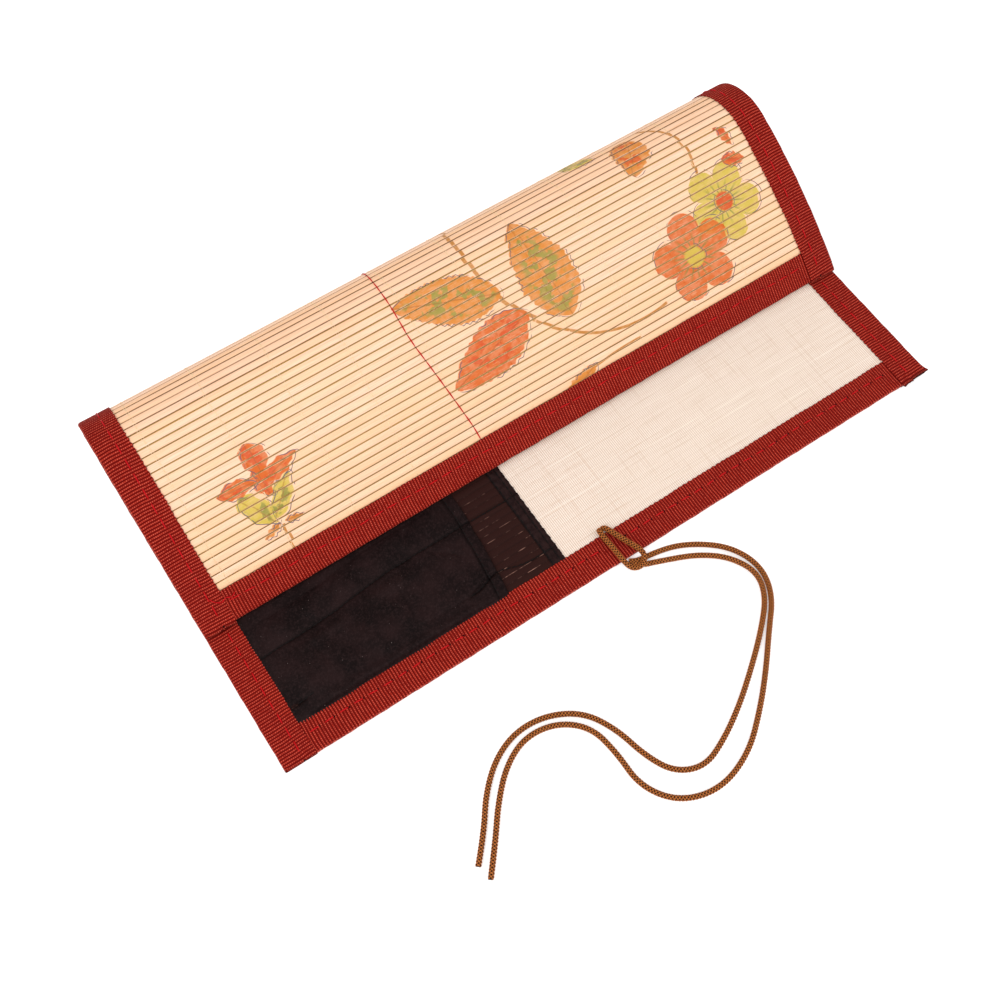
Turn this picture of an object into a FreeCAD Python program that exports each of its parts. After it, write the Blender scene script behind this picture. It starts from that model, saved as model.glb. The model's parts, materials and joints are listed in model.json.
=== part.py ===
import FreeCAD, Part
import math
import os

# A rollable brush case: a mat of bamboo slats, lined with gauze, bound in ribbed tape, with a
# nylon pocket inside and a doubled cord hitched to its front edge.  It lies open on its front
# panel, and its rear part is folded over in a loose loop so that its rear edge rests on the lining.
# Units are millimetres.  +X runs along the slats, +Y from the front edge to the fold, +Z is up.
# The origin is at the middle of the footprint, on the surface that the case lies on.

# --- mat ---
MAT_WIDTH = 360.0            # length of a slat
SLAT_PITCH = 3.7
SLAT_WIDTH = 3.3
SLAT_INSET = 0.4             # from a slat's end to the fold of the side tape
BASE_SLATS = 41              # slats that lie flat
BEND_GROUPS = [2] * 12 + [7, 8]     # slats in each moving group of the fold
FLAP_SLATS = 8               # slats of the stiff rear end
SLAT_IN = 0.45               # the slat's inner and outer face, outward from the lining's inner face
SLAT_OUT = 1.6
LINING = 0.4
TAPE = 0.5                   # tape thickness
TAPE_OUT = 2.2               # outer face of the folded tape
TAPE_SIDE = 15.0             # width that shows on each side
LINING_INSET = 1.0

# --- fold: each arc is (radius, degrees); the last one takes what is left of the mat ---
FOLD_ARCS = [(25.6, 120.0), (22.0, 42.0), (28.0, 42.0)]
LAST_TURN = 18.0

# --- pocket on the lining ---
MOUTH_X = 125.0              # where the pocket opens
BACKING_X = 155.0            # far edge of the sheer backing
HEM_WIDTH = 5.0
BAND_WIDTH = 7.0
BACKING = 0.25
FRONT_GAP = 0.05
FRONT = 0.45
HEM = 0.25
FIRST_SEAM = 23.5            # first channel seam, from the front edge
SEAM_PITCH = 30.5
SEAM_WIDTH = 0.6
SEAM_HEIGHT = 0.2
SEAM_END_X = 119.0
CHANNEL_RISE = 5.6           # how far the one channel in front of the flap stands open
SEAM_FLAT = 0.4              # flat cloth on each side of a seam

# --- threads ---
WARP_PITCH = 32.5            # cotton warp threads that bind the slats
WARP_WIDTH = 0.8
WARP_HEIGHT = 0.25
STITCH_IN = 9.0              # stitch line, from the edge of the mat
STITCH_LENGTH = 3.0
STITCH_PITCH = 7.4
STITCH_WIDTH = 0.7
STITCH_HEIGHT = 0.25
BAND_STITCH_X = 151.5

# --- cord ---
CORD = 2.8
CORD_Z = 1.45                # height of its centre on the table
HITCH_X = 178.0
HOLE_Y = 19.0
HOLE_SIZE = (8.4, 5.6)       # slot in the lining that the cord comes through
KNOT_Y = (-8.6, -2.6)
KNOT_HALF = 5.6
KNOT_HEIGHT = 5.6
HITCH_CLEAR = 9.0            # the front stitch line is left out this near to the hitch
BIGHT_Z = 4.3
TAIL_A = [(183.6, -4.3), (196.5, -5.6), (211.0, -12.8), (222.4, -23.2), (227.4, -37.5), (223.0, -51.5),
          (210.5, -64.2), (198.3, -77.4), (185.4, -89.6), (169.0, -102.5), (149.5, -108.4),
          (131.5, -103.0), (121.4, -88.5), (121.6, -71.0), (118.9, -56.0), (107.6, -46.2),
          (92.5, -43.9), (79.0, -50.0), (67.2, -61.5), (57.6, -74.0), (47.6, -85.6)]
TAIL_B = [(183.6, -7.3), (195.0, -11.6), (207.8, -17.4), (218.4, -26.2), (224.2, -38.6), (219.9, -50.4),
          (208.2, -61.6), (194.2, -72.6), (178.6, -83.6), (163.5, -92.0), (149.5, -97.0),
          (137.2, -91.5), (131.0, -78.8), (127.6, -63.0), (120.2, -49.2), (106.6, -41.2),
          (91.0, -39.6), (76.8, -45.0), (65.0, -55.4), (56.2, -67.6), (46.2, -78.4)]

# --- derived sizes ---
MAT_LENGTH = SLAT_PITCH * (BASE_SLATS + sum(BEND_GROUPS) + FLAP_SLATS)
BASE_END = SLAT_PITCH * BASE_SLATS
FLAP_START = MAT_LENGTH - SLAT_PITCH * FLAP_SLATS
SIDE_TO = MAT_WIDTH - TAPE_SIDE
REAR_Y = BASE_END + FOLD_ARCS[0][0] + TAPE_OUT
CENTRE = FreeCAD.Vector(MAT_WIDTH / 2, (REAR_Y - TAPE) / 2, 0)


def sections():
    """The mat's inner face in side view, as (start, end, radius, start angle, start y, start z)."""
    arcs = [(r, math.radians(a)) for r, a in FOLD_ARCS]
    left = MAT_LENGTH - BASE_END - sum(r * a for r, a in arcs)
    arcs.append((left / math.radians(LAST_TURN), math.radians(LAST_TURN)))
    made = [(-10.0, BASE_END, None, 0.0, -10.0, TAPE_OUT)]
    s, angle, y, z = BASE_END, 0.0, BASE_END, TAPE_OUT
    for r, a in arcs:
        made.append((s, s + r * a, r, angle, y, z))
        y += r * (math.sin(angle + a) - math.sin(angle))
        z += r * (math.cos(angle) - math.cos(angle + a))
        s += r * a
        angle += a
    made.append((s, s + 10.0, None, angle, y, z))
    return made


SECTIONS = sections()


def place(s, d=0.0):
    """(y, z, direction) at distance s along the mat and d outward from the lining's inner face."""
    for start, end, r, angle, y, z in SECTIONS:
        if s <= end + 1e-9:
            break
    run = s - start
    if r is None:
        turned = angle
        y += run * math.cos(angle)
        z += run * math.sin(angle)
    else:
        turned = angle + run / r
        y += r * (math.sin(turned) - math.sin(angle))
        z += r * (math.cos(angle) - math.cos(turned))
    return y + d * math.sin(turned), z - d * math.cos(turned), turned


def at(x, s, d):
    y, z, _ = place(s, d)
    return FreeCAD.Vector(x, y, z)


def edge_line(x, s0, s1, d):
    """Edges at depth d from s0 to s1: lines on the flats, arcs in the fold."""
    low, high = min(s0, s1), max(s0, s1)
    cuts = [low] + [e[1] for e in SECTIONS if low + 1e-6 < e[1] < high - 1e-6] + [high]
    edges = []
    for a, b in zip(cuts, cuts[1:]):
        middle = (a + b) / 2
        flat = [e for e in SECTIONS if e[0] <= middle <= e[1]][0][2] is None
        if flat:
            edges.append(Part.LineSegment(at(x, a, d), at(x, b, d)).toShape())
        else:
            edges.append(Part.Arc(at(x, a, d), at(x, middle, d), at(x, b, d)).toShape())
    return edges


def sheet(s0, s1, d0, d1, x0, x1):
    """A layer of the mat from s0 to s1, between depths d0 and d1, from x0 to x1."""
    ends = [
        Part.LineSegment(at(x0, s0, d0), at(x0, s0, d1)).toShape(),
        Part.LineSegment(at(x0, s1, d0), at(x0, s1, d1)).toShape(),
    ]
    edges = edge_line(x0, s0, s1, d0) + edge_line(x0, s0, s1, d1) + ends
    wire = Part.Wire(Part.__sortEdges__(edges))
    return Part.Face(wire).extrude(FreeCAD.Vector(x1 - x0, 0, 0))


def slat(number):
    """One bamboo slat, flat, tangent to the mat at its own middle."""
    s = SLAT_PITCH * (number + 0.5)
    y, z, angle = place(s, SLAT_OUT)
    length = MAT_WIDTH - 2 * SLAT_INSET
    box = Part.makeBox(length, SLAT_WIDTH, SLAT_OUT - SLAT_IN)
    box.translate(FreeCAD.Vector(SLAT_INSET, -SLAT_WIDTH / 2, 0))
    box.rotate(FreeCAD.Vector(0, 0, 0), FreeCAD.Vector(1, 0, 0), math.degrees(angle))
    box.translate(FreeCAD.Vector(0, y, z))
    return box


def slats(first, count):
    return Part.makeCompound([slat(n) for n in range(first, first + count)])


def side_tape(s0, s1, right):
    """Ribbed tape folded round the slats' ends: a U that opens towards the middle of the mat."""
    x0, x1 = (SIDE_TO, MAT_WIDTH + TAPE) if right else (-TAPE, TAPE_SIDE)
    h0, h1 = (SIDE_TO - 1, MAT_WIDTH) if right else (0, TAPE_SIDE + 1)
    block = sheet(s0, s1, -TAPE, TAPE_OUT, x0, x1)
    return block.cut(sheet(s0 - 1, s1 + 1, 0, TAPE_OUT - TAPE, h0, h1))


def end_tape(rear):
    """Tape folded round the first or the last slats, between the side tapes."""
    s0, s1 = (MAT_LENGTH - TAPE_SIDE, MAT_LENGTH + TAPE) if rear else (-TAPE, TAPE_SIDE)
    h0, h1 = (MAT_LENGTH - TAPE_SIDE - 1, MAT_LENGTH) if rear else (0, TAPE_SIDE + 1)
    gap = 0.05
    block = sheet(s0, s1, -TAPE, TAPE_OUT, TAPE_SIDE + gap, SIDE_TO - gap)
    return block.cut(sheet(h0, h1, 0, TAPE_OUT - TAPE, TAPE_SIDE, SIDE_TO))


def lining(s0, s1, hole=False):
    body = sheet(s0, s1, 0, LINING, LINING_INSET, MAT_WIDTH - LINING_INSET)
    if hole:
        across, along = HOLE_SIZE
        slot = Part.makeBox(across, along, 4)
        slot.translate(FreeCAD.Vector(HITCH_X - across / 2, HOLE_Y - along / 2, 0))
        body = body.cut(slot)
    return body


def warp_threads(s0, s1):
    """Cotton threads on the outer face of the slats, between the side tapes."""
    x = TAPE_SIDE + 5.0
    made = []
    while x < SIDE_TO - 2:
        made.append(sheet(s0, s1, SLAT_OUT + 0.08, SLAT_OUT + 0.08 + WARP_HEIGHT, x, x + WARP_WIDTH))
        x += WARP_PITCH
    return Part.makeCompound(made)


def stitches_along(s0, s1, x, d0, d1):
    """Short straight stitches in a row from s0 to s1."""
    made = []
    s = s0 + STITCH_PITCH / 2
    while s + STITCH_LENGTH < s1:
        made.append(sheet(s, s + STITCH_LENGTH, d0, d1, x - STITCH_WIDTH / 2, x + STITCH_WIDTH / 2))
        s += STITCH_PITCH
    return made


def stitches_across(s, d0, d1):
    """The same row along an end tape; the front one leaves room for the cord."""
    made = []
    x = TAPE_SIDE + STITCH_PITCH / 2
    while x + STITCH_LENGTH < SIDE_TO:
        under_cord = s < BASE_END and abs(x + STITCH_LENGTH / 2 - HITCH_X) < HITCH_CLEAR
        if not under_cord:
            made.append(sheet(s - STITCH_WIDTH / 2, s + STITCH_WIDTH / 2, d0, d1, x, x + STITCH_LENGTH))
        x += STITCH_PITCH
    return made


def tape_stitching(s0, s1, end=None, outside=False):
    """Running stitch down both side tapes, and along an end tape if end is its stitch line."""
    d0, d1 = (TAPE_OUT, TAPE_OUT + STITCH_HEIGHT) if outside else (-TAPE - STITCH_HEIGHT, -TAPE)
    made = stitches_along(s0, s1, STITCH_IN, d0, d1)
    made += stitches_along(s0, s1, MAT_WIDTH - STITCH_IN, d0, d1)
    if end is not None:
        made += stitches_across(end, d0, d1)
    return Part.makeCompound(made)


def arch(inner, outer, x0, x1):
    """Cloth that stands up between the first two channel seams, between two heights above the lining."""
    y0, y1 = FIRST_SEAM + SEAM_FLAT, FIRST_SEAM + SEAM_PITCH - SEAM_FLAT
    middle = (y0 + y1) / 2
    low = [FreeCAD.Vector(x0, y0, TAPE_OUT + inner), FreeCAD.Vector(x0, middle, TAPE_OUT + inner + CHANNEL_RISE),
           FreeCAD.Vector(x0, y1, TAPE_OUT + inner)]
    high = [FreeCAD.Vector(x0, y0, TAPE_OUT + outer), FreeCAD.Vector(x0, middle, TAPE_OUT + outer + CHANNEL_RISE),
            FreeCAD.Vector(x0, y1, TAPE_OUT + outer)]
    edges = [Part.Arc(*low).toShape(), Part.Arc(*high).toShape(),
             Part.LineSegment(low[0], high[0]).toShape(), Part.LineSegment(low[2], high[2]).toShape()]
    return Part.Face(Part.Wire(Part.__sortEdges__(edges))).extrude(FreeCAD.Vector(x1 - x0, 0, 0))


def pocket_cloth(s0, s1, inner, outer, x0, x1):
    """A layer of the pocket's front: flat, and arched over the open channel if it is in this stretch."""
    if s0 > FIRST_SEAM:
        return sheet(s0, s1, -outer, -inner, x0, x1)
    before = sheet(s0, FIRST_SEAM + SEAM_FLAT, -outer, -inner, x0, x1)
    after = sheet(FIRST_SEAM + SEAM_PITCH - SEAM_FLAT, s1, -outer, -inner, x0, x1)
    return before.fuse([arch(inner, outer, x0, x1), after]).removeSplitter()


def pocket_front(s0, s1):
    inner = BACKING + FRONT_GAP
    return pocket_cloth(s0, s1, inner, inner + FRONT, TAPE_SIDE + 0.1, MOUTH_X)


def pocket_backing(s0, s1):
    return sheet(s0, s1, -BACKING, 0, TAPE_SIDE + 0.1, BACKING_X)


def pocket_hem(s0, s1):
    inner = BACKING + FRONT_GAP + FRONT
    return pocket_cloth(s0, s1, inner, inner + HEM, MOUTH_X - HEM_WIDTH, MOUTH_X)


def pocket_band(s0, s1):
    return sheet(s0, s1, -BACKING - FRONT, -BACKING, BACKING_X - BAND_WIDTH, BACKING_X)


def channel_seams(s0, s1):
    """Seams that part the pocket into brush channels."""
    inner = BACKING + FRONT_GAP + FRONT
    s = FIRST_SEAM
    made = []
    while s < s1 - 1:
        if s > s0 + 1:
            half = SEAM_WIDTH / 2
            made.append(sheet(s - half, s + half, -inner - SEAM_HEIGHT, -inner, TAPE_SIDE + 1, SEAM_END_X))
        s += SEAM_PITCH
    return Part.makeCompound(made)


def pocket_stitching(s0, s1):
    """The band's stitches where they show on the outer face of the slats."""
    d0 = SLAT_OUT + 0.08
    return Part.makeCompound(stitches_along(s0, s1, BAND_STITCH_X, d0, d0 + STITCH_HEIGHT))


def cord_bight():
    """The two strands of the cord's bight, from the hole in the lining over the front tape."""
    made = []
    for side in (-1, 1):
        x = HITCH_X + side * 2.2
        route = [(x, HOLE_Y + 1.2, 3.1), (x, HOLE_Y - 4.6, BIGHT_Z), (HITCH_X + side * 3.2, 5.0, BIGHT_Z + 0.05),
                 (HITCH_X + side * 3.6, KNOT_Y[1], BIGHT_Z)]
        made.append(tube(route, "bight"))
    return Part.makeCompound(made)


def cord_knot():
    """The cord's bight drawn round its own two tails."""
    box = Part.makeBox(2 * KNOT_HALF, KNOT_Y[1] - KNOT_Y[0], KNOT_HEIGHT)
    box.translate(FreeCAD.Vector(HITCH_X - KNOT_HALF, KNOT_Y[0], 0))
    upright = [e for e in box.Edges if abs(e.Vertexes[0].Z - e.Vertexes[1].Z) > 1]
    return box.makeFillet(0.9, upright)


def tube(route, name):
    """A cord along a route: straight runs joined by arcs as large as the runs allow."""
    points = [FreeCAD.Vector(*p) for p in route]
    edges = []
    radii = []
    start = points[0]
    for before, corner, after in zip(points, points[1:], points[2:]):
        back, on = before - corner, after - corner
        turn = math.pi - back.getAngle(on)
        reach = 0.45 * min(back.Length, on.Length)
        radii.append(reach / math.tan(turn / 2))
        back.normalize()
        on.normalize()
        a, b = corner + back * reach, corner + on * reach
        half = back + on
        half.normalize()
        middle = corner + half * (reach * math.tan(turn / 4))
        edges.append(Part.LineSegment(start, a).toShape())
        edges.append(Part.Arc(a, middle, b).toShape())
        start = b
    edges.append(Part.LineSegment(start, points[-1]).toShape())
    path = Part.Wire(edges)
    ring = Part.Wire([Part.makeCircle(CORD / 2, points[0], points[1] - points[0])])
    body = path.makePipeShell([ring], True, False)
    ratio = body.Volume / (math.pi * CORD**2 / 4 * path.Length)
    print(name, "length %.1f" % path.Length, "volume ratio %.4f" % ratio, "radii",
          " ".join("%.1f" % r for r in radii))
    return body


def tail(route, name):
    return tube([(x, y, CORD_Z) for x, y in route], name)


def save(shape, node):
    shape.translate(CENTRE * -1)
    shape.exportStep("parts/" + node + ".step")
    print(node, len(shape.Solids), "valid" if shape.isValid() else "INVALID")


def soft_layers(part, s0, s1):
    """The layers that run the whole length of the mat, over one stretch of it."""
    first, last = max(s0, LINING_INSET), min(s1, MAT_LENGTH - LINING_INSET)
    begin = TAPE_SIDE + 0.1 if s0 < 0 else s0
    end = MAT_LENGTH - TAPE_SIDE - 0.1 if s1 > MAT_LENGTH else s1
    save(lining(first, last, hole=s0 < 0), "lining_" + part)
    save(side_tape(s0, s1, False), "tape_left_" + part)
    save(side_tape(s0, s1, True), "tape_right_" + part)
    save(warp_threads(begin, end), "warp_threads_" + part)
    save(pocket_front(begin, end), "pocket_front_" + part)
    save(pocket_backing(begin, end), "pocket_backing_" + part)
    save(pocket_hem(begin, end), "pocket_mouth_hem_" + part)
    save(pocket_band(begin, end), "pocket_band_" + part)
    save(channel_seams(begin, end), "channel_seams_" + part)
    save(pocket_stitching(begin, end), "pocket_stitching_" + part)


def main():
    os.makedirs("parts", exist_ok=True)
    save(slats(0, BASE_SLATS), "slats_base")
    save(end_tape(False), "tape_front")
    soft_layers("base", -TAPE, BASE_END)
    save(tape_stitching(0, BASE_END, STITCH_IN), "tape_stitching_base")
    first = BASE_SLATS
    for number, count in enumerate(BEND_GROUPS, 1):
        save(slats(first, count), "slats_bend_%02d" % number)
        first += count
    soft_layers("bend", BASE_END, FLAP_START)
    save(tape_stitching(BASE_END, FLAP_START, None, True), "tape_stitching_bend")
    save(slats(first, FLAP_SLATS), "slats_flap")
    save(end_tape(True), "tape_rear")
    soft_layers("flap", FLAP_START, MAT_LENGTH + TAPE)
    save(tape_stitching(FLAP_START, MAT_LENGTH, MAT_LENGTH - STITCH_IN, True), "tape_stitching_flap")
    save(cord_bight(), "cord_bight")
    save(cord_knot(), "cord_knot")
    save(tail(TAIL_A, "tail a"), "cord_tail_a")
    save(tail(TAIL_B, "tail b"), "cord_tail_b")


main()
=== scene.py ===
"""Looks of a roll-up brush case: bamboo slats, gauze lining, ribbed tape, nylon pocket and cord.

Shapes are worked out in millimetres on the mat itself: x runs along the slats, s is the distance
along the mat from its front edge, and d is the depth outward from the lining's inner face.
on_mat() turns (x, s, d) into the row frame, in metres.
"""

import json
import math
from collections import namedtuple

import bpy
import numpy as np
from mathutils import Matrix, Vector


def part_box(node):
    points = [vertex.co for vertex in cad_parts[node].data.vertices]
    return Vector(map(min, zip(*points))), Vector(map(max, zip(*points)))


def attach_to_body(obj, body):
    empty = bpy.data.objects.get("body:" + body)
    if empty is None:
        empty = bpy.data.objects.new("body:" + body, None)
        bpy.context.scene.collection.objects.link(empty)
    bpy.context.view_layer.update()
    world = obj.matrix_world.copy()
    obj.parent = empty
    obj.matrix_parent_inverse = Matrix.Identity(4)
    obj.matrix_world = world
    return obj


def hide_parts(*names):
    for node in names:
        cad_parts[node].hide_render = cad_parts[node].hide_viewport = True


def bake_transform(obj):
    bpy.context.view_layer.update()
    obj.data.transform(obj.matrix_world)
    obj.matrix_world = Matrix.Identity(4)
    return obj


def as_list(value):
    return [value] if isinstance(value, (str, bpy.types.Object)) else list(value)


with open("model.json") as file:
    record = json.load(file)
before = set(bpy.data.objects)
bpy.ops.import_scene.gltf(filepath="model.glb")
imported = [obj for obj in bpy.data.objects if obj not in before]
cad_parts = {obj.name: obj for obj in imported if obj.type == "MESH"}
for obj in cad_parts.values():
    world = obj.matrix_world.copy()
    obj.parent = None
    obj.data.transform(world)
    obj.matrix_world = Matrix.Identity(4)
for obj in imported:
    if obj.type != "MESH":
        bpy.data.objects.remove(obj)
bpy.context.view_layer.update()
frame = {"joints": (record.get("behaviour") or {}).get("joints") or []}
MM = 0.001
TURN = 2 * math.pi

# --- the mat, as it is in the CAD model ---
SLAT_PITCH = 3.7
SLAT_INSET = 0.4
SLAT_GROUPS = [41] + [2] * 12 + [7, 8] + [8]
FOLD_ARCS = [(25.6, 120.0), (22.0, 42.0), (28.0, 42.0)]
LAST_TURN = 18.0
TAPE = 0.5
TAPE_OUT = 2.2
TAPE_SIDE = 15.0
TAPE_MIDDLE = 0.85           # depth of the middle of the mat and its tapes
MAT_LENGTH = SLAT_PITCH * sum(SLAT_GROUPS)
BASE_END = SLAT_PITCH * SLAT_GROUPS[0]
ORIGIN = Vector((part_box("slats_base")[0].x / MM - SLAT_INSET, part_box("tape_front")[0].y / MM + TAPE, 0))
MAT_WIDTH = -2 * ORIGIN.x
SIDE_TO = MAT_WIDTH - TAPE_SIDE
BODIES = ["front_panel"] + [j["child"] for j in frame["joints"]]

# --- pocket, stitches and cord, as they are in the CAD model ---
MOUTH_X = 125.0
BACKING_X = 155.0
BAND_WIDTH = 7.0
HEM_WIDTH = 5.0
FIRST_SEAM = 23.5
SEAM_PITCH = 30.5
STITCH_IN = 9.0
STITCH_PITCH = 7.4
BAND_STITCH_X = 151.5
WARP_PITCH = 32.5
CORD_Z = 1.45
HITCH_X = 178.0
TAIL_A = [(183.6, -4.3), (196.5, -5.6), (211.0, -12.8), (222.4, -23.2), (227.4, -37.5), (223.0, -51.5),
          (210.5, -64.2), (198.3, -77.4), (185.4, -89.6), (169.0, -102.5), (149.5, -108.4),
          (131.5, -103.0), (121.4, -88.5), (121.6, -71.0), (118.9, -56.0), (107.6, -46.2),
          (92.5, -43.9), (79.0, -50.0), (67.2, -61.5), (57.6, -74.0), (47.6, -85.6)]
TAIL_B = [(183.6, -7.3), (195.0, -11.6), (207.8, -17.4), (218.4, -26.2), (224.2, -38.6), (219.9, -50.4),
          (208.2, -61.6), (194.2, -72.6), (178.6, -83.6), (163.5, -92.0), (149.5, -97.0),
          (137.2, -91.5), (131.0, -78.8), (127.6, -63.0), (120.2, -49.2), (106.6, -41.2),
          (91.0, -39.6), (76.8, -45.0), (65.0, -55.4), (56.2, -67.6), (46.2, -78.4)]

# --- what only the looks need ---
LINING_IN = 1.0              # the gauze starts this far in from the mat's edges
GAUZE_THICKNESS = 0.24
EDGE_ROUNDING = 0.35         # share of a cloth's thickness that its side edges are thinner by
CORNER_LIFT = 0.42           # a side tape lies this much higher over an end tape
STITCH_SUNK = 0.12           # stitches of the tape sit this deep in it
STITCH_LIFT = 0.38           # and stand this much higher over an end tape
LOOSE_END = -50.0            # the flat stretch before the mat starts here, for what overhangs its edge

# --- fineness ---
SLAT_STATIONS = 30
ROUND = 6                    # points round a thread
RIB_PITCH = 1.41             # ribs of the tape
TAPE_STEP = RIB_PITCH / 5
CLOTH_STEP = SLAT_PITCH / 8
FINE_STEP = 0.5              # the pocket where it's puffed up


# ---------------------------------------------------------------- the mat's curve

def mat_stretches():
    """Stretches of the mat's inner face: start, curvature, direction, y and z."""
    arcs = [(r, math.radians(a)) for r, a in FOLD_ARCS]
    left = MAT_LENGTH - BASE_END - sum(r * a for r, a in arcs)
    arcs.append((left / math.radians(LAST_TURN), math.radians(LAST_TURN)))
    rows = [(LOOSE_END, 0.0, 0.0, LOOSE_END, TAPE_OUT)]
    s, angle, y, z = BASE_END, 0.0, BASE_END, TAPE_OUT
    for r, a in arcs:
        rows.append((s, 1 / r, angle, y, z))
        y += r * (math.sin(angle + a) - math.sin(angle))
        z += r * (math.cos(angle) - math.cos(angle + a))
        s += r * a
        angle += a
    rows.append((s, 0.0, angle, y, z))
    return np.array(rows)


STRETCHES = mat_stretches()


def curve(s):
    """y, z and direction of the mat's inner face at each distance s."""
    s = np.asarray(s, float)
    row = STRETCHES[np.clip(np.searchsorted(STRETCHES[:, 0], s, side="right") - 1, 0, None)]
    run, bend, angle = s - row[..., 0], row[..., 1], row[..., 2]
    turned = angle + bend * run
    straight = bend == 0
    r = 1 / np.where(straight, 1.0, bend)
    y = row[..., 3] + np.where(straight, run * np.cos(angle), r * (np.sin(turned) - np.sin(angle)))
    z = row[..., 4] + np.where(straight, run * np.sin(angle), r * (np.cos(angle) - np.cos(turned)))
    return y, z, turned


def on_mat(x, s, d):
    """Points of the row frame, in metres, for x, s and d in millimetres."""
    x, s, d = np.broadcast_arrays(np.asarray(x, float), np.asarray(s, float), np.asarray(d, float))
    y, z, turned = curve(s)
    points = np.stack([x, y + d * np.sin(turned), z - d * np.cos(turned)], axis=-1)
    return (points + np.array(ORIGIN)) * MM


def in_frame(x, y, z):
    """A point given beside the mat, in millimetres from its front left corner, in the row frame."""
    return Vector(((x + ORIGIN.x) * MM, (y + ORIGIN.y) * MM, z * MM))


def body_starts():
    """Where each body's slats begin along the mat, and the mat's end."""
    return SLAT_PITCH * np.concatenate([[0], np.cumsum(SLAT_GROUPS)])


STARTS = body_starts()


Cut = namedtuple("Cut", "name start end body after closed")


def cloth_stretches():
    """How cloth is cut where the mat's bodies meet: a cut runs from its body to the one after."""
    middles = [BASE_END - SLAT_PITCH]
    middles += [(a + b) / 2 for a, b in zip(STARTS[1:-2], STARTS[2:-1])]
    middles.append(STARTS[-2] + 2 * SLAT_PITCH)
    cuts = [Cut("base", 0.0, middles[0], BODIES[0], None, True)]
    for n, (a, b) in enumerate(zip(middles, middles[1:]), 1):
        cuts.append(Cut("fold_%02d" % n, a, b, BODIES[n - 1], BODIES[n], False))
    cuts.append(Cut("flap", middles[-1], MAT_LENGTH, BODIES[-1], None, True))
    return cuts


CUTS = cloth_stretches()


def attach(piece, cut, material, slot_name, stem):
    """Paints a piece of one cloth stretch, makes it ride its body where the stretch lies on one body, fixes
    it in place where it spans two, and stand for its CAD node.
    """
    paint(piece, material)
    if cut.after is None:
        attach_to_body(piece, cut.body)
    else:
        on_mat(MAT_WIDTH / 2, cut.start, 0).tolist()
        on_mat(MAT_WIDTH / 2, cut.end, 0).tolist()
        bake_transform(piece)
    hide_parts(stem + "_" + ("bend" if cut.after else cut.name))


# ---------------------------------------------------------------- mesh helpers

def smooth_step(value, low, high):
    t = np.clip((value - low) / (high - low), 0, 1)
    return t * t * (3 - 2 * t)


def wobble(value, seed, scale):
    """Smooth, repeatable unevenness between -1 and 1."""
    value = np.asarray(value, float) / scale
    total = np.zeros_like(value)
    for n, share in enumerate((0.5, 0.3, 0.2)):
        total += share * np.sin(value * (1 + 1.37 * n) * TURN + seed * (1.7 + n))
    return total


def groove(s):
    """1 over the gap between two slats and 0 on a slat."""
    return (0.5 + 0.5 * np.cos(TURN * s / SLAT_PITCH)) ** 3


def grid_faces(rows, columns):
    """Quads of a grid of vertices, closed round its columns."""
    r, c = np.meshgrid(np.arange(rows - 1), np.arange(columns), indexing="ij")
    n = (c + 1) % columns
    quads = np.stack([r * columns + c, r * columns + n, (r + 1) * columns + n, (r + 1) * columns + c], -1)
    return quads.reshape(-1, 4).tolist()


def tube_faces(rows, columns, caps=(True, True), first=0):
    """Faces of a tube, with its first and last rows closed where caps says so."""
    faces = grid_faces(rows, columns)
    if caps[0]:
        faces.append(list(range(columns - 1, -1, -1)))
    if caps[1]:
        faces.append([(rows - 1) * columns + c for c in range(columns)])
    return [[first + v for v in face] for face in faces]


def make_mesh(name, points, faces, marks, extra=None):
    """An object from row-frame points, with marks as its UV map called mat."""
    mesh = bpy.data.meshes.new(name)
    mesh.from_pydata(points.reshape(-1, 3).tolist(), [], faces)
    corner = np.zeros(len(mesh.loops), np.int32)
    mesh.loops.foreach_get("vertex_index", corner)
    layer = mesh.uv_layers.new(name="mat")
    layer.data.foreach_set("uv", marks.reshape(-1, 2)[corner].astype(np.float32).ravel())
    for key, values in (extra or {}).items():
        attribute = mesh.attributes.new(key, "FLOAT", "POINT")
        attribute.data.foreach_set("value", np.asarray(values, np.float32).ravel())
    mesh.polygons.foreach_set("use_smooth", [True] * len(mesh.polygons))
    mesh.update()
    piece = bpy.data.objects.new(name, mesh)
    bpy.context.scene.collection.objects.link(piece)
    return piece


def make_tube(name, x, s, d, marks=None, caps=(False, False), extra=None):
    """A closed section carried along its rows; each array is rows by points of the section."""
    x, s, d = np.broadcast_arrays(x, s, d)
    if marks is None:
        marks = np.stack([x, s], -1)
    return make_mesh(name, on_mat(x, s, d), tube_faces(*x.shape, caps), marks, extra)


def steps(start, end, size):
    """Even stations from start to end, about size apart."""
    return np.linspace(start, end, max(2, int(round((end - start) / size)) + 1))


def join_tubes(name, points, marks, extra=None):
    """Many small capped tubes in one mesh: points is tubes by rows by section by 3."""
    tubes, rows, columns = points.shape[:3]
    faces = []
    for t in range(tubes):
        faces += tube_faces(rows, columns, first=t * rows * columns)
    return make_mesh(name, points, faces, marks, extra)


# ---------------------------------------------------------------- material helpers

def srgb(r, g, b):
    """A colour from 0 to 255 as shown on a screen, as Blender's linear colour."""
    def linear(c):
        c /= 255
        return c / 12.92 if c <= 0.04045 else ((c + 0.055) / 1.055) ** 2.4
    return (linear(r), linear(g), linear(b), 1.0)


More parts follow.
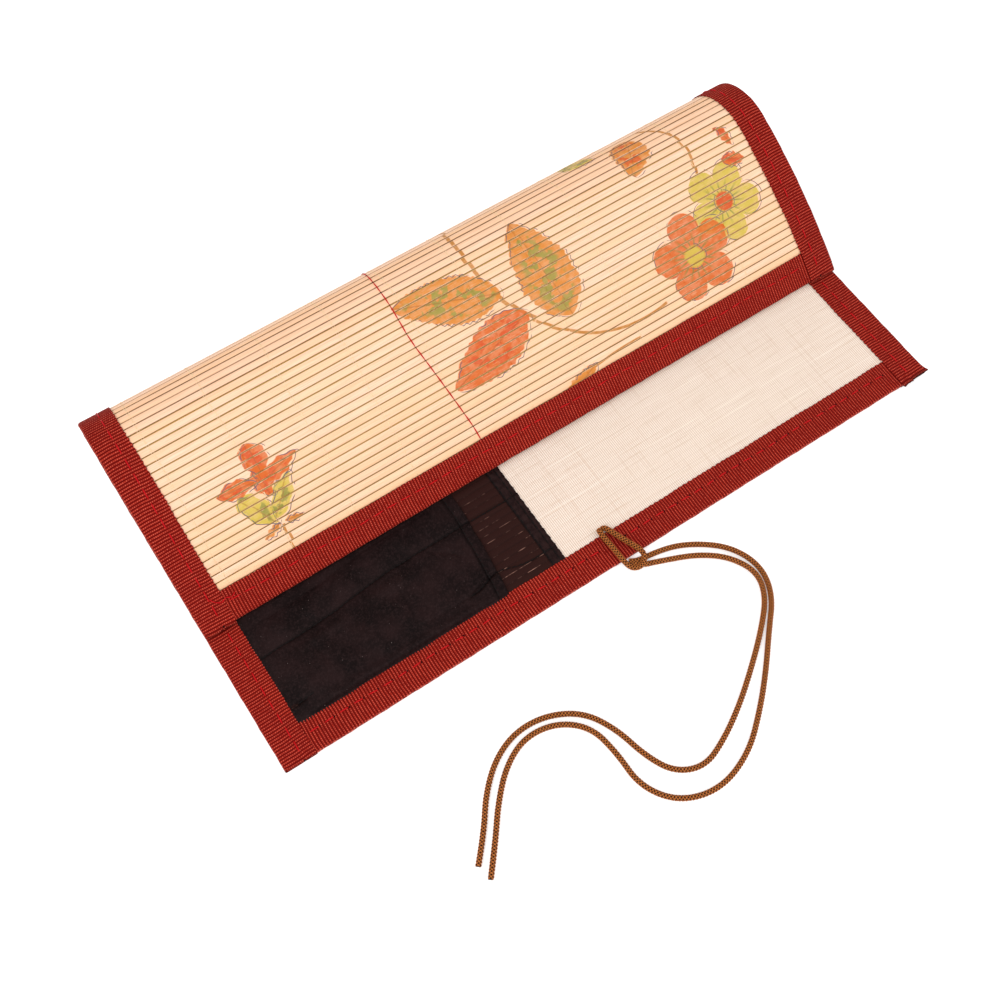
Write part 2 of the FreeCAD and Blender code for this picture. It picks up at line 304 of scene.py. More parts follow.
class Shader:
    """A material's node tree with short ways to add the nodes that the materials here share."""

    def __init__(self, name, roughness, specular):
        self.material = bpy.data.materials.new(name)
        self.material.use_nodes = True
        self.tree = self.material.node_tree
        self.bsdf = self.tree.nodes["Principled BSDF"]
        self.bsdf.inputs["Roughness"].default_value = roughness
        self.bsdf.inputs["Specular IOR Level"].default_value = specular

    def node(self, kind, **settings):
        made = self.tree.nodes.new(kind)
        for key, value in settings.items():
            setattr(made, key, value)
        return made

    def link(self, source, target):
        if isinstance(source, (int, float)):
            target.default_value = source
        else:
            self.tree.links.new(source, target)

    def math(self, operation, a, b=0.0, c=0.0):
        made = self.node("ShaderNodeMath", operation=operation)
        for value, socket in zip((a, b, c), made.inputs):
            self.link(value, socket)
        return made.outputs[0]

    def mul(self, a, b):
        return self.math("MULTIPLY", a, b)

    def mul_add(self, a, b, c):
        return self.math("MULTIPLY_ADD", a, b, c)

    def add(self, a, b):
        return self.math("ADD", a, b)

    def less(self, a, b):
        return self.math("SUBTRACT", a, b)

    def over(self, a, b):
        return self.math("DIVIDE", a, b)

    def size(self, a):
        return self.math("ABSOLUTE", a)

    def length(self, u, v):
        return self.math("SQRT", self.add(self.mul(u, u), self.mul(v, v)))

    def mat_uv(self):
        uv = self.node("ShaderNodeUVMap", uv_map="mat").outputs[0]
        split = self.node("ShaderNodeSeparateXYZ")
        self.link(uv, split.inputs[0])
        return split.outputs[0], split.outputs[1]

    def attribute(self, name):
        return self.node("ShaderNodeAttribute", attribute_name=name).outputs["Fac"]

    def vector(self, x, y, z=0.0):
        made = self.node("ShaderNodeCombineXYZ")
        for value, socket in zip((x, y, z), made.inputs):
            self.link(value, socket)
        return made.outputs[0]

    def noise(self, vector, scale, detail=3.0, roughness=0.55):
        made = self.node("ShaderNodeTexNoise", noise_dimensions="3D")
        self.link(vector, made.inputs["Vector"])
        made.inputs["Scale"].default_value = scale
        made.inputs["Detail"].default_value = detail
        made.inputs["Roughness"].default_value = roughness
        return made.outputs["Fac"]

    def ramp(self, value, low, high, out_low=0.0, out_high=1.0):
        made = self.node("ShaderNodeMapRange", interpolation_type="SMOOTHSTEP")
        for source, key in ((value, "Value"), (low, "From Min"), (high, "From Max"), (out_low, "To Min"),
                            (out_high, "To Max")):
            self.link(source, made.inputs[key])
        return made.outputs[0]

    def mix(self, share, a, b):
        made = self.node("ShaderNodeMix", data_type="RGBA", blend_type="MIX")
        self.link(share, made.inputs["Factor"])
        for value, socket in ((a, made.inputs[6]), (b, made.inputs[7])):
            if isinstance(value, tuple):
                socket.default_value = value
            else:
                self.tree.links.new(value, socket)
        return made.outputs[2]

    def start(self, share, a, b):
        """The colour that everything else is laid over."""
        self.base = self.mix(share, a, b)

    def lay(self, share, colour, strength=None):
        self.base = self.mix(share if strength is None else self.mul(share, strength), self.base, colour)

    def finish(self, height=None, distance=0.0, strength=1.0):
        """Gives the shader its colour, a bump from a height, and returns the material."""
        self.tree.links.new(self.base, self.bsdf.inputs["Base Color"])
        if height is not None:
            made = self.node("ShaderNodeBump")
            made.inputs["Strength"].default_value = strength
            made.inputs["Distance"].default_value = distance
            self.link(height, made.inputs["Height"])
            self.tree.links.new(made.outputs[0], self.bsdf.inputs["Normal"])
        return self.material

    def wave(self, coordinate, pitch):
        """0 to 1 and back once in each pitch."""
        turned = self.mul(coordinate, TURN / pitch)
        return self.mul_add(self.math("COSINE", turned), 0.5, 0.5)


# ---------------------------------------------------------------- printed flowers

class Print:
    """Painted shapes on the slats: leaves, flowers, buds and stems, laid over a base colour."""

    def __init__(self, shader, x, s):
        self.sh = shader
        self.x, self.s = x, s
        rough = shader.noise(shader.vector(x, s), 0.55, 3.0)
        blot = shader.noise(shader.vector(x, s, 11.0), 0.3, 3.0, 0.6)
        self.ragged = shader.mul_add(rough, 2.4, -1.2)
        streak = shader.noise(shader.vector(shader.mul(x, 0.08), s), 1.6, 4.0)
        worn = shader.mul_add(rough, 0.4, shader.wave(s, SLAT_PITCH))
        bare = shader.ramp(worn, 1.19, 1.04)
        wash = shader.mul(shader.ramp(streak, 0.28, 0.46, 0.66, 1.0), shader.ramp(blot, 0.3, 0.62, 0.8, 0.98))
        self.cover = shader.mul(bare, wash)
        self.patch = shader.noise(shader.vector(x, s, 7.0), 0.17, 2.0)
        self.broken = shader.ramp(shader.noise(shader.vector(x, s, 3.0), 0.12, 2.0), 0.42, 0.50)

    def local(self, cx, cs, degrees):
        """Coordinates from a centre, turned so that the first runs along the shape."""
        sh = self.sh
        turn = math.radians(degrees)
        dx, ds = sh.less(self.x, cx), sh.less(self.s, cs)
        u = sh.add(sh.mul(dx, math.cos(turn)), sh.mul(ds, math.sin(turn)))
        v = sh.less(sh.mul(ds, math.cos(turn)), sh.mul(dx, math.sin(turn)))
        return u, v

    def lay(self, mask, colour, share=1.0):
        self.sh.lay(self.sh.mul(self.sh.mul(mask, self.cover), share), colour)

    def line(self, distance, width, colour):
        """A thin broken outline where the distance is near nought."""
        near = self.sh.size(distance)
        mask = self.sh.ramp(near, width, width * 0.4)
        self.sh.lay(self.sh.mul(mask, self.broken), colour)

    def leaf_distance(self, cx, cs, degrees, length, width, teeth):
        sh = self.sh
        u, v = self.local(cx, cs, degrees)
        t = sh.mul(u, 2 / length)
        inside = sh.less(1.0, sh.mul(t, t))
        hump = sh.math("MAXIMUM", inside, 0.0)
        full = sh.math("POWER", hump, 0.72)
        lean = sh.mul_add(t, -0.28, 1.0)
        half = sh.mul(sh.mul(full, lean), width / 2)
        tooth = sh.mul(sh.math("SINE", sh.mul(u, TURN / teeth)), 0.45)
        beyond = sh.mul(sh.math("MINIMUM", inside, 0.0), length)
        rim = sh.mul_add(tooth, hump, beyond)
        return v, sh.add(sh.less(half, sh.size(v)), rim)

    def leaf(self, cx, cs, degrees, length, width, colour, patch_colour=None, teeth=3.2):
        sh = self.sh
        v, distance = self.leaf_distance(cx, cs, degrees, length, width, teeth)
        mask = sh.ramp(sh.mul_add(self.ragged, 0.5, distance), -0.1, 0.35)
        self.lay(mask, colour)
        if patch_colour:
            inner = sh.ramp(distance, width * 0.10, width * 0.22)
            blots = sh.ramp(self.patch, 0.50, 0.55)
            self.lay(sh.mul(inner, blots), patch_colour, 0.8)
        vein = sh.ramp(sh.size(v), 0.45, 0.15)
        self.lay(sh.mul(sh.mul(vein, mask), 0.5), INK_VEIN)
        outline = self.leaf_distance(cx + 0.9, cs + 0.5, degrees, length * 1.02, width, teeth)[1]
        self.line(outline, 0.3, INK_LINE)

    def petals_distance(self, cx, cs, degrees, radius, count, depth):
        sh = self.sh
        u, v = self.local(cx, cs, degrees)
        reach = sh.length(u, v)
        around = sh.math("ARCTAN2", v, u)
        lobe = sh.math("POWER", sh.size(sh.math("COSINE", sh.mul(around, count / 2))), 0.55)
        edge = sh.mul_add(lobe, radius * depth, radius * (1 - depth))
        return reach, around, sh.less(edge, reach)

    def flower(self, cx, cs, degrees, radius, colour, shade, eye, count=5, depth=0.42):
        sh = self.sh
        reach, around, distance = self.petals_distance(cx, cs, degrees, radius, count, depth)
        mask = sh.ramp(sh.mul_add(self.ragged, 0.5, distance), -0.1, 0.4)
        self.lay(mask, colour)
        rays = sh.math("COSINE", sh.mul(around, count * 3.0))
        ray = sh.mul(sh.ramp(rays, 0.45, 0.9), sh.ramp(reach, radius * 0.62, radius * 0.3))
        self.lay(sh.mul(ray, mask), shade, 0.85)
        self.lay(sh.ramp(reach, radius * 0.27, radius * 0.2), eye, 1.0)
        self.line(sh.less(reach, radius * 0.27), 0.25, INK_LINE)
        offset = self.petals_distance(cx + 0.9, cs - 0.6, degrees, radius * 1.03, count, depth)[2]
        self.line(offset, 0.3, INK_LINE)

    def stem(self, cx, cs, radius, start, end, colour, width=1.5):
        """An arc about a centre, from one angle to another, in degrees."""
        sh = self.sh
        middle = (start + end) / 2
        u, v = self.local(cx, cs, middle)
        reach = sh.length(u, v)
        around = sh.size(sh.math("ARCTAN2", v, u))
        half = math.radians(abs(end - start) / 2)
        off = sh.size(sh.less(reach, radius))
        mask = sh.mul(sh.ramp(off, width * 0.58, width * 0.36), sh.ramp(around, half, half * 0.97))
        self.lay(mask, colour)


INK_LEAF = srgb(204, 124, 40)
INK_ORANGE = srgb(201, 93, 20)
INK_DEEP = srgb(198, 70, 22)
INK_GREEN = srgb(126, 138, 62)
INK_LIME = srgb(196, 170, 66)
INK_OLIVE = srgb(112, 118, 50)
INK_STEM = srgb(180, 116, 42)
INK_VEIN = srgb(150, 84, 34)
INK_LINE = srgb(92, 84, 96)


def paint_motifs(ink):
    """A plain spray of leaves and open flowers across the flap, and a bud near its left side."""
    ink.stem(253.5, 231.5, 65.0, 138.0, 192.0, INK_STEM, 2.0)
    ink.stem(178.2, 215.5, 12.0, -95.0, 12.0, INK_STEM, 1.6)
    ink.stem(255.5, 235.0, 64.5, 78.0, 142.0, INK_STEM, 1.5)
    ink.stem(242.5, 467.5, 161.0, 254.0, 272.0, INK_STEM, 1.4)
    ink.leaf(219.0, 255.0, 263.0, 52.0, 28.0, INK_LEAF, INK_GREEN)
    ink.leaf(170.0, 247.5, 199.0, 53.0, 22.0, INK_LEAF, INK_GREEN)
    ink.leaf(178.0, 277.5, 161.0, 50.0, 23.0, INK_ORANGE, INK_DEEP, 4.5)
    ink.leaf(210.0, 312.0, 158.0, 26.0, 8.0, INK_LEAF)
    ink.stem(283.0, 239.5, 32.0, -52.0, 22.0, INK_STEM, 1.5)
    ink.leaf(289.0, 228.0, 118.0, 24.0, 18.0, INK_LEAF, INK_DEEP)
    ink.leaf(266.0, 214.0, 20.0, 20.0, 9.0, INK_LIME, INK_OLIVE)
    ink.flower(319.0, 269.0, 20.0, 20.0, INK_LIME, INK_OLIVE, INK_DEEP)
    ink.flower(292.5, 285.5, 52.0, 22.0, INK_ORANGE, INK_OLIVE, INK_LIME)
    ink.leaf(334.0, 253.0, 20.0, 13.0, 7.0, INK_ORANGE, INK_DEEP)
    ink.leaf(336.0, 241.0, 70.0, 12.0, 5.0, INK_ORANGE, INK_DEEP)
    ink.stem(114.5, 306.0, 60.0, 175.0, 187.0, INK_STEM, 1.3)
    ink.leaf(48.0, 288.0, 59.0, 21.0, 11.0, INK_LIME, INK_OLIVE, 9.0)
    ink.leaf(61.0, 287.0, -48.0, 22.0, 9.0, INK_LIME, INK_OLIVE, 9.0)
    ink.leaf(56.0, 278.0, 80.0, 15.0, 10.0, INK_ORANGE, INK_DEEP, 6.0)
    ink.leaf(57.0, 268.0, 92.0, 17.0, 12.0, INK_ORANGE, INK_DEEP, 6.0)
    ink.leaf(44.5, 275.5, 6.0, 18.0, 8.0, INK_ORANGE, INK_DEEP, 6.0)
    ink.leaf(66.0, 275.5, -16.0, 19.0, 8.0, INK_ORANGE, INK_DEEP, 6.0)
    ink.leaf(49.0, 299.5, 158.0, 9.0, 3.5, INK_LEAF)
    ink.leaf(60.5, 298.5, 8.0, 9.0, 3.0, INK_LEAF)
    underneath = ((70.0, 40.0, 30.0), (210.0, 70.0, 200.0), (310.0, 110.0, 75.0), (120.0, 150.0, 140.0))
    for cx, cs, turn in underneath:
        ink.flower(cx, cs, turn, 20.0, INK_ORANGE, INK_OLIVE, INK_LIME)
        ink.leaf(cx + 34.0, cs + 12.0, 20.0, 44.0, 19.0, INK_LEAF, INK_GREEN)


# ---------------------------------------------------------------- materials

def bamboo_material():
    sh = Shader("bamboo", 0.5, 0.3)
    x, s = sh.mat_uv()
    tone, edge = sh.attribute("tone"), sh.attribute("edge")
    along = sh.vector(sh.mul(x, 0.025), s, sh.mul(tone, 40.0))
    grain = sh.noise(along, 2.6, 5.0, 0.6)
    broad = sh.noise(sh.vector(sh.mul(x, 0.012), sh.mul(s, 0.25), tone), 1.2, 2.0)
    sh.start(sh.ramp(grain, 0.32, 0.72), srgb(244, 204, 175), srgb(232, 182, 147))
    sh.lay(sh.ramp(broad, 0.4, 0.75), srgb(244, 199, 154), 0.4)
    sh.lay(tone, srgb(233, 181, 130), 0.5)
    fleck = sh.noise(sh.vector(sh.mul(x, 0.12), s, 5.0), 3.0, 2.0)
    sh.lay(sh.ramp(fleck, 0.70, 0.76), srgb(176, 124, 74), 0.4)
    paint_motifs(Print(sh, sh.mul_add(tone, 1.8, x), s))
    # Dark brown on the slats' side faces: partly the split bamboo's own colour, partly painted shade that
    # makes the gaps between slats read as dark lines.
    sh.lay(edge, srgb(112, 66, 6))
    return sh.finish(grain, 0.00008, 0.5)


def gauze_material():
    sh = Shader("gauze", 0.9, 0.08)
    x, s = sh.mat_uv()
    weft, warp = sh.wave(x, 0.99), sh.wave(s, 0.66)
    weave = sh.add(sh.mul(weft, 0.65), sh.mul(warp, 0.35))
    slub = sh.noise(sh.vector(sh.mul(x, 0.03), s), 1.5, 4.0, 0.65)
    # Painted shade: the gauze is darker over each gap between slats, where no slat lies behind it.
    gap = sh.ramp(sh.wave(s, SLAT_PITCH), 0.90, 1.0)
    sh.start(sh.ramp(weave, 0.15, 0.75), srgb(200, 178, 160), srgb(242, 226, 213))
    sh.lay(sh.ramp(slub, 0.46, 0.72), srgb(202, 174, 150), 0.35)
    sh.lay(sh.mul(gap, sh.ramp(slub, 0.4, 0.75, 0.0, 0.26)), srgb(176, 140, 108))
    thread = sh.noise(sh.vector(x, sh.mul(s, 0.03), 4.0), 1.1, 3.0)
    sh.lay(sh.ramp(thread, 0.56, 0.72), srgb(200, 170, 148), 0.3)
    pale = sh.noise(sh.vector(sh.mul(x, 0.015), s, 8.0), 0.9, 2.0)
    sh.lay(sh.ramp(pale, 0.60, 0.72), srgb(248, 236, 222), 0.35)
    # Painted shade: the lining's outer face, seen only down the gaps between slats, is tinted brown so that
    # the gaps read as dark brown lines.
    sh.lay(sh.attribute("outside"), srgb(226, 188, 100))
    return sh.finish(weave, 0.00014, 0.9)


def tape_material():
    """Ribbed tape; its UV map holds the distance along, by rib, and across the tape."""
    sh = Shader("ribbed_tape", 0.75, 0.05)
    along, across = sh.mat_uv()
    rib = sh.wave(along, RIB_PITCH)
    row = sh.math("FLOOR", sh.mul_add(along, 1 / RIB_PITCH, 0.5))
    cross = sh.wave(sh.mul_add(row, 0.45, across), 0.9)
    fine = sh.noise(sh.vector(along, across), 1.3, 3.0)
    broad = sh.noise(sh.vector(along, across, 2.0), 0.06, 2.0)
    uneven = sh.noise(sh.vector(sh.mul(row, 2.3), sh.mul(across, 0.22), 6.0), 1.0, 3.0)
    # Painted shade and highlight: the hollows between ribs are dark and the rib tops lighter.
    sh.start(sh.ramp(rib, 0.12, 0.7), srgb(92, 6, 4), srgb(148, 33, 21))
    sh.lay(sh.ramp(broad, 0.4, 0.7), srgb(108, 12, 8), 0.35)
    sh.lay(sh.ramp(uneven, 0.42, 0.7, 0.0, 0.6), srgb(106, 10, 6))
    # Painted highlights: light dots on the rib tops where the cross threads float.
    weave_dot_highlight = sh.mul(sh.ramp(rib, 0.5, 0.9), sh.ramp(cross, 0.5, 0.9))
    sh.lay(sh.mul(weave_dot_highlight, sh.ramp(fine, 0.35, 0.62, 0.1, 1.0)), srgb(212, 96, 76))
    # Painted highlight: a fine light line along the tape's outer fold.
    fold = sh.mul(sh.ramp(across, 0.0, -0.3), sh.ramp(fine, 0.35, 0.6))
    sh.lay(fold, srgb(206, 112, 96), 0.4)
    # Painted shade: dark dots at the stitch ends stand for the needle holes, which aren't modelled.
    line = sh.ramp(sh.size(sh.less(across, STITCH_IN)), 0.6, 0.3)
    place = sh.math("FRACT", sh.over(along, STITCH_PITCH))
    hole = sh.ramp(sh.size(sh.less(place, 0.94)), 0.08, 0.04)
    sh.lay(sh.mul(line, hole), srgb(30, 6, 6))
    # Dark at the tape's cut ends: partly frayed threads, partly painted shade under the raw ends.
    sh.lay(sh.attribute("fray_and_end_shade"), srgb(44, 12, 10))
    return sh.finish(sh.mul_add(cross, 0.3, sh.mul(rib, 0.7)), 0.00022, 0.9)


def nylon_material():
    sh = Shader("black_nylon", 0.55, 0.06)
    x, s = sh.mat_uv()
    weave = sh.mul(sh.wave(x, 0.36), sh.wave(s, 0.36))
    cloud = sh.noise(sh.vector(x, s), 0.06, 4.0, 0.6)
    grain = sh.noise(sh.vector(x, s, 5.0), 1.1, 3.0, 0.7)
    lint = sh.noise(sh.vector(x, s, 9.0), 1.4, 1.0)
    # The broad lighter and darker clouds are painted sheen and shade of the nylon's soft folds.
    sh.start(sh.ramp(cloud, 0.34, 0.68), srgb(14, 6, 6), srgb(31, 17, 17))
    sh.lay(sh.ramp(grain, 0.42, 0.75, 0.0, 0.6), srgb(46, 31, 31))
    sh.lay(sh.ramp(lint, 0.80, 0.815), srgb(104, 92, 90))
    # Painted shade along the cloth's seams and creases.
    sh.lay(sh.attribute("seam"), srgb(3, 0, 0))
    return sh.finish(weave, 0.00006, 0.6)


def sheer_material():
    sh = Shader("sheer_cloth", 0.6, 0.06)
    x, s = sh.mat_uv()
    weave = sh.mul(sh.wave(x, 0.42), sh.wave(s, 0.42))
    line = sh.math("ROUND", sh.over(s, SLAT_PITCH))
    dash = sh.noise(sh.vector(sh.mul(x, 0.055), sh.mul(line, 7.3)), 1.9, 3.0, 0.7)
    gap_shade = sh.ramp(sh.wave(s, SLAT_PITCH), 0.80, 0.97)
    low = sh.ramp(s, 44.0, 24.0, 0.4, 0.85)
    sh.start(weave, srgb(36, 16, 13), srgb(54, 28, 24))
    # Painted shade: the sheer is darker near each gap between slats.
    sh.lay(gap_shade, srgb(28, 14, 12), 0.35)
    thin = sh.ramp(sh.wave(s, SLAT_PITCH), 0.975, 0.993)
    bright = sh.mul(sh.mul(sh.ramp(dash, 0.5, 0.68), low), thin)
    sh.lay(bright, srgb(160, 116, 102))
    # Painted shade along the cloth's seams and creases.
    sh.lay(sh.attribute("seam"), srgb(12, 3, 2))
    return sh.finish(weave, 0.00006, 0.6)


def band_material():
    """The band along the backing's side: nylon so thin that it looks brown."""
    sh = Shader("band_nylon", 0.5, 0.08)
    x, s = sh.mat_uv()
    weave = sh.mul(sh.wave(x, 0.36), sh.wave(s, 0.36))
    cloud = sh.noise(sh.vector(x, sh.mul(s, 0.6)), 0.5, 3.0)
    sh.start(sh.ramp(cloud, 0.36, 0.66), srgb(25, 10, 10), srgb(38, 21, 20))
    # Painted shade along the cloth's seams.
    sh.lay(sh.attribute("seam"), srgb(6, 1, 1))
    return sh.finish(weave, 0.00006, 0.6)


def thread_material(name, dark, light, roughness):
    """Sewing thread with its twist, told by a coordinate along and round the thread."""
    sh = Shader(name, roughness, 0.15)
    along, across = sh.mat_uv()
    twist = sh.wave(sh.add(along, sh.mul(across, 0.8)), 0.5)
    spread = sh.noise(sh.vector(along, across), 0.8, 2.0)
    sh.start(sh.mul(sh.add(twist, spread), 0.5), dark, light)
    return sh.finish(twist, 0.00005, 0.7)


def cotton_material():
    """Thread that was printed with the slats; its UV map holds the place on the mat."""
    sh = Shader("cotton_thread", 0.7, 0.15)
    x, s = sh.mat_uv()
    twist = sh.wave(sh.mul_add(x, 0.8, s), 0.5)
    sh.start(twist, srgb(214, 178, 130), srgb(244, 220, 184))
    paint_motifs(Print(sh, x, s))
    return sh.finish(twist, 0.00005, 0.7)


def cord_material():
    """Braided cord; the UV map runs along each strand and across it, and shade is 0 in its hollows."""
    sh = Shader("braided_cord", 0.6, 0.2)
    along, across = sh.mat_uv()
    shade = sh.attribute("shade")
    fibre = sh.wave(sh.add(across, sh.mul(along, 0.35)), 0.24)
    patch = sh.noise(sh.vector(along, across), 0.5, 3.0)
    sh.start(sh.mul_add(fibre, 0.4, sh.mul(shade, 0.6)), srgb(98, 42, 8), srgb(218, 130, 62))
    sh.lay(sh.ramp(patch, 0.45, 0.75), srgb(96, 42, 10), 0.4)
    sh.lay(sh.ramp(shade, 0.62, 0.25), srgb(34, 9, 0))
    return sh.finish(fibre, 0.00006, 0.8)


def floor_material():
    sh = Shader("floor", 0.9, 0.1)
    place = sh.node("ShaderNodeNewGeometry").outputs["Position"]
    cloud = sh.noise(place, 6.0, 2.0)
    sh.start(cloud, srgb(250, 250, 250), srgb(254, 254, 254))
    sh.bsdf.inputs["Emission Color"].default_value = (1.0, 1.0, 1.0, 1.0)
    sh.bsdf.inputs["Emission Strength"].default_value = 0.22
    return sh.finish()


BAMBOO = bamboo_material()
GAUZE = gauze_material()
RIBBED = tape_material()
NYLON = nylon_material()
SHEER = sheer_material()
BAND_CLOTH = band_material()
RED = thread_material("red_thread", srgb(158, 0, 8), srgb(206, 12, 20), 0.6)
BLACK = thread_material("black_thread", srgb(6, 4, 4), srgb(20, 14, 14), 0.7)
COTTON = cotton_material()
BRAID = cord_material()


def paint(piece, material):
    piece.data.materials.clear()
    piece.data.materials.append(material)


# ---------------------------------------------------------------- slats

# round a slat: distance from its middle, depth, and 1 where it shows its split sides, which are painted dark
# brown: partly the split bamboo's own colour, partly painted shade in the gaps between slats
SLAT_SECTION = np.array([
    (-1.70, 0.80, 1), (-1.73, 1.22, 1), (-1.68, 1.46, 0.7), (-1.52, 1.55, 0), (0.0, 1.6, 0),
    (1.52, 1.55, 0), (1.68, 1.46, 0.7), (1.73, 1.22, 1), (1.70, 0.80, 1), (1.45, 0.54, 1),
    (0.0, 0.5, 0.8), (-1.45, 0.54, 1)])


def slat_shapes(numbers):
    """Points, marks, tones and edge shares of some slats, each a slightly uneven split strip."""
    stations = np.linspace(0, 1, SLAT_STATIONS)
    t, d, edge = SLAT_SECTION.T
    points, marks, tones, edges = [], [], [], []
    for n in numbers:
        draw = np.random.default_rng(100 + n)
        tone, fat, lift = draw.random() ** 1.6, draw.uniform(0.948, 0.997), draw.uniform(-0.03, 0.0)
        ends = SLAT_INSET + draw.uniform(0.0, 0.6, 2)
        x = ends[0] + stations * (MAT_WIDTH - ends.sum())
        shift = 0.045 * wobble(x, draw.uniform(0, 9), draw.uniform(90, 210))
        y, z, angle = curve(SLAT_PITCH * (n + 0.5))
        wide = t[None, :] * fat * (1 + 0.012 * wobble(x, n, 60)[:, None]) + shift[:, None]
        deep = d[None, :] + lift
        at = np.stack([np.broadcast_to(x[:, None], wide.shape),
                       y + wide * math.cos(angle) + deep * math.sin(angle),
                       z + wide * math.sin(angle) - deep * math.cos(angle)], -1)
        points.append((at + np.array(ORIGIN)) * MM)
        marks.append(np.stack([at[..., 0], SLAT_PITCH * (n + 0.5) + wide], -1))
        tones.append(np.full(wide.shape, tone))
        edges.append(edge * np.where(t > 0, draw.uniform(0.35, 1.0), draw.uniform(0.35, 1.0)) + 0 * wide)
    return np.array(points), np.array(marks), np.array(tones), np.array(edges)


def make_slats():
    first = 0
    for body, count in zip(BODIES, SLAT_GROUPS):
        points, marks, tones, edges = slat_shapes(range(first, first + count))
        part = {"front_panel": "base", "flap": "flap"}.get(body, body)
        piece = join_tubes("bamboo_" + part, points, marks, {"tone": tones, "edge": edges})
        paint(piece, BAMBOO)
        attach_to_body(piece, body)
        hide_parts("slats_" + part)
        first += count


# ---------------------------------------------------------------- cloth layers

def ribbon(name, cut, ends, x_line, top, thickness, step=CLOTH_STEP, seams=False):
    """Cloth along a cut: x_line(s) gives its x positions, top(x, s) its inner face's depth."""
    s = steps(*ends, step)[:, None]
    x = np.broadcast_to(x_line(s), (len(s), x_line(s).shape[1]))
    inner = np.broadcast_to(top(x, s), x.shape)
    inset = np.zeros(x.shape[1])
    inset[0] = inset[-1] = thickness * EDGE_ROUNDING
    x_all = np.concatenate([x, x[:, ::-1]], 1)
    d_all = np.concatenate([inner + inset, (inner + thickness - inset)[:, ::-1]], 1)
    # outside is 1 on the cloth's outer face, which the gauze paints brown as shade seen down the gaps between
    # slats; seam is where the pocket's cloths get painted shade along their seams and creases.
    outside = np.concatenate([np.zeros(x.shape), np.ones(x.shape)], 1)
    extra = {"outside": outside, "seam": seam_shade_share(x_all, s) if seams else np.zeros(x_all.shape)}
    return make_tube(name + "_" + cut.name, x_all, s, d_all, caps=(cut.closed,) * 2, extra=extra)


def cut_span(cut, begin, end):
    """The part of a cloth stretch between begin and end."""
    return max(cut.start, begin), min(cut.end, end)


def lining_top(x, s):
    """Depth of the lining's inner face, with a faint ripple over each gap between slats."""
    ripple = 0.06 * groove(s) * (0.75 + 0.25 * wobble(x, 3.0, 80))
    return 0.04 + ripple + 0.02 * wobble(x + 0.4 * s, 1.0, 37)


def make_lining():
    pieces = []
    across = np.concatenate([[1.0, 4.0, 10.0], np.linspace(14, SIDE_TO + 1, 70), [350.0, 356.0, 359.0]])
    for cut in CUTS:
        ends = cut_span(cut, LINING_IN, MAT_LENGTH - LINING_IN)
        piece = ribbon("gauze", cut, ends, lambda s: across[None, :], lining_top, GAUZE_THICKNESS)
        attach(piece, cut, GAUZE, "gauze_lining", "lining")
        pieces.append(piece)
    declare_cloth(pieces)


def declare_cloth(pieces):
    """Lists the stretches of a cloth after its first, and does nothing more with them."""
    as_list(pieces[1:])


def round_fold(radius, angles):
    """Points of the tape's fold round the mat's edge."""
    return [(TAPE_MIDDLE + radius * math.cos(a), TAPE_MIDDLE + radius * math.sin(a)) for a in angles]


def tape_section():
    """Distance in from the mat's edge, and depth, round a folded tape's section."""
    face = np.array([15.0, 14.7, 13.0, 11.0, 10.0, 9.4, 9.0, 8.6, 8.0, 6.5, 4.5, 2.5, 1.4])
    arc = np.radians(np.linspace(-90, -270, 9))
    outer = [(t, -TAPE) for t in face]
    outer += round_fold(1.35, arc)
    outer += [(t, TAPE_OUT) for t in face[::-1]]
    inner = [(t, TAPE_OUT - 0.45) for t in (14.9, 8.0, 2.5)]
    inner += round_fold(0.9, arc[::-2])
    inner += [(t, -0.05) for t in (2.5, 8.0, 14.9)]
    return np.array(outer + inner), len(outer)


TAPE_LOOP, TAPE_OUTER = tape_section()


def rib_place(t, along):
    """Distance along the tape counted by its ribs, which bow a little either side of the stitches."""
    return along + 0.16 * np.sin(math.pi * t / STITCH_IN) + 0.12 * wobble(along + 3 * t, 3.0, 60)


def tape_depth(t, d, along, seed):
    """The tape's depth with its ribs, the dip along its stitches and a little unevenness."""
    outer = np.zeros(len(t))
    outer[:TAPE_OUTER] = 1.0
    sign = np.where(d < TAPE_MIDDLE, -1.0, 1.0)
    rib = 0.055 * np.cos(TURN * rib_place(t, along) / RIB_PITCH)
    dip = 0.14 * np.exp(-((t - STITCH_IN) / 0.8) ** 2)
    lift = 0.07 * wobble(along, seed, 46) + rib - dip
    edge = smooth_step(np.abs(d - TAPE_MIDDLE), 0.6, 1.3)
    return d + outer * sign * edge * (lift - 0.05)


def tape_inset(t, along, seed):
    """Distance in from the edge: the selvedge is scalloped by the ribs, and wanders a little."""
    share = smooth_step(t, 12.0, 15.0)
    scallop = 0.24 * np.cos(TURN * along / (2 * RIB_PITCH)) * (0.65 + 0.35 * wobble(along, seed, 17))
    fold = 0.12 * wobble(along, seed + 1, 21) * smooth_step(t, 3.0, 0.0)
    return t + share * (0.2 * wobble(along, seed, 55) + scallop) + fold


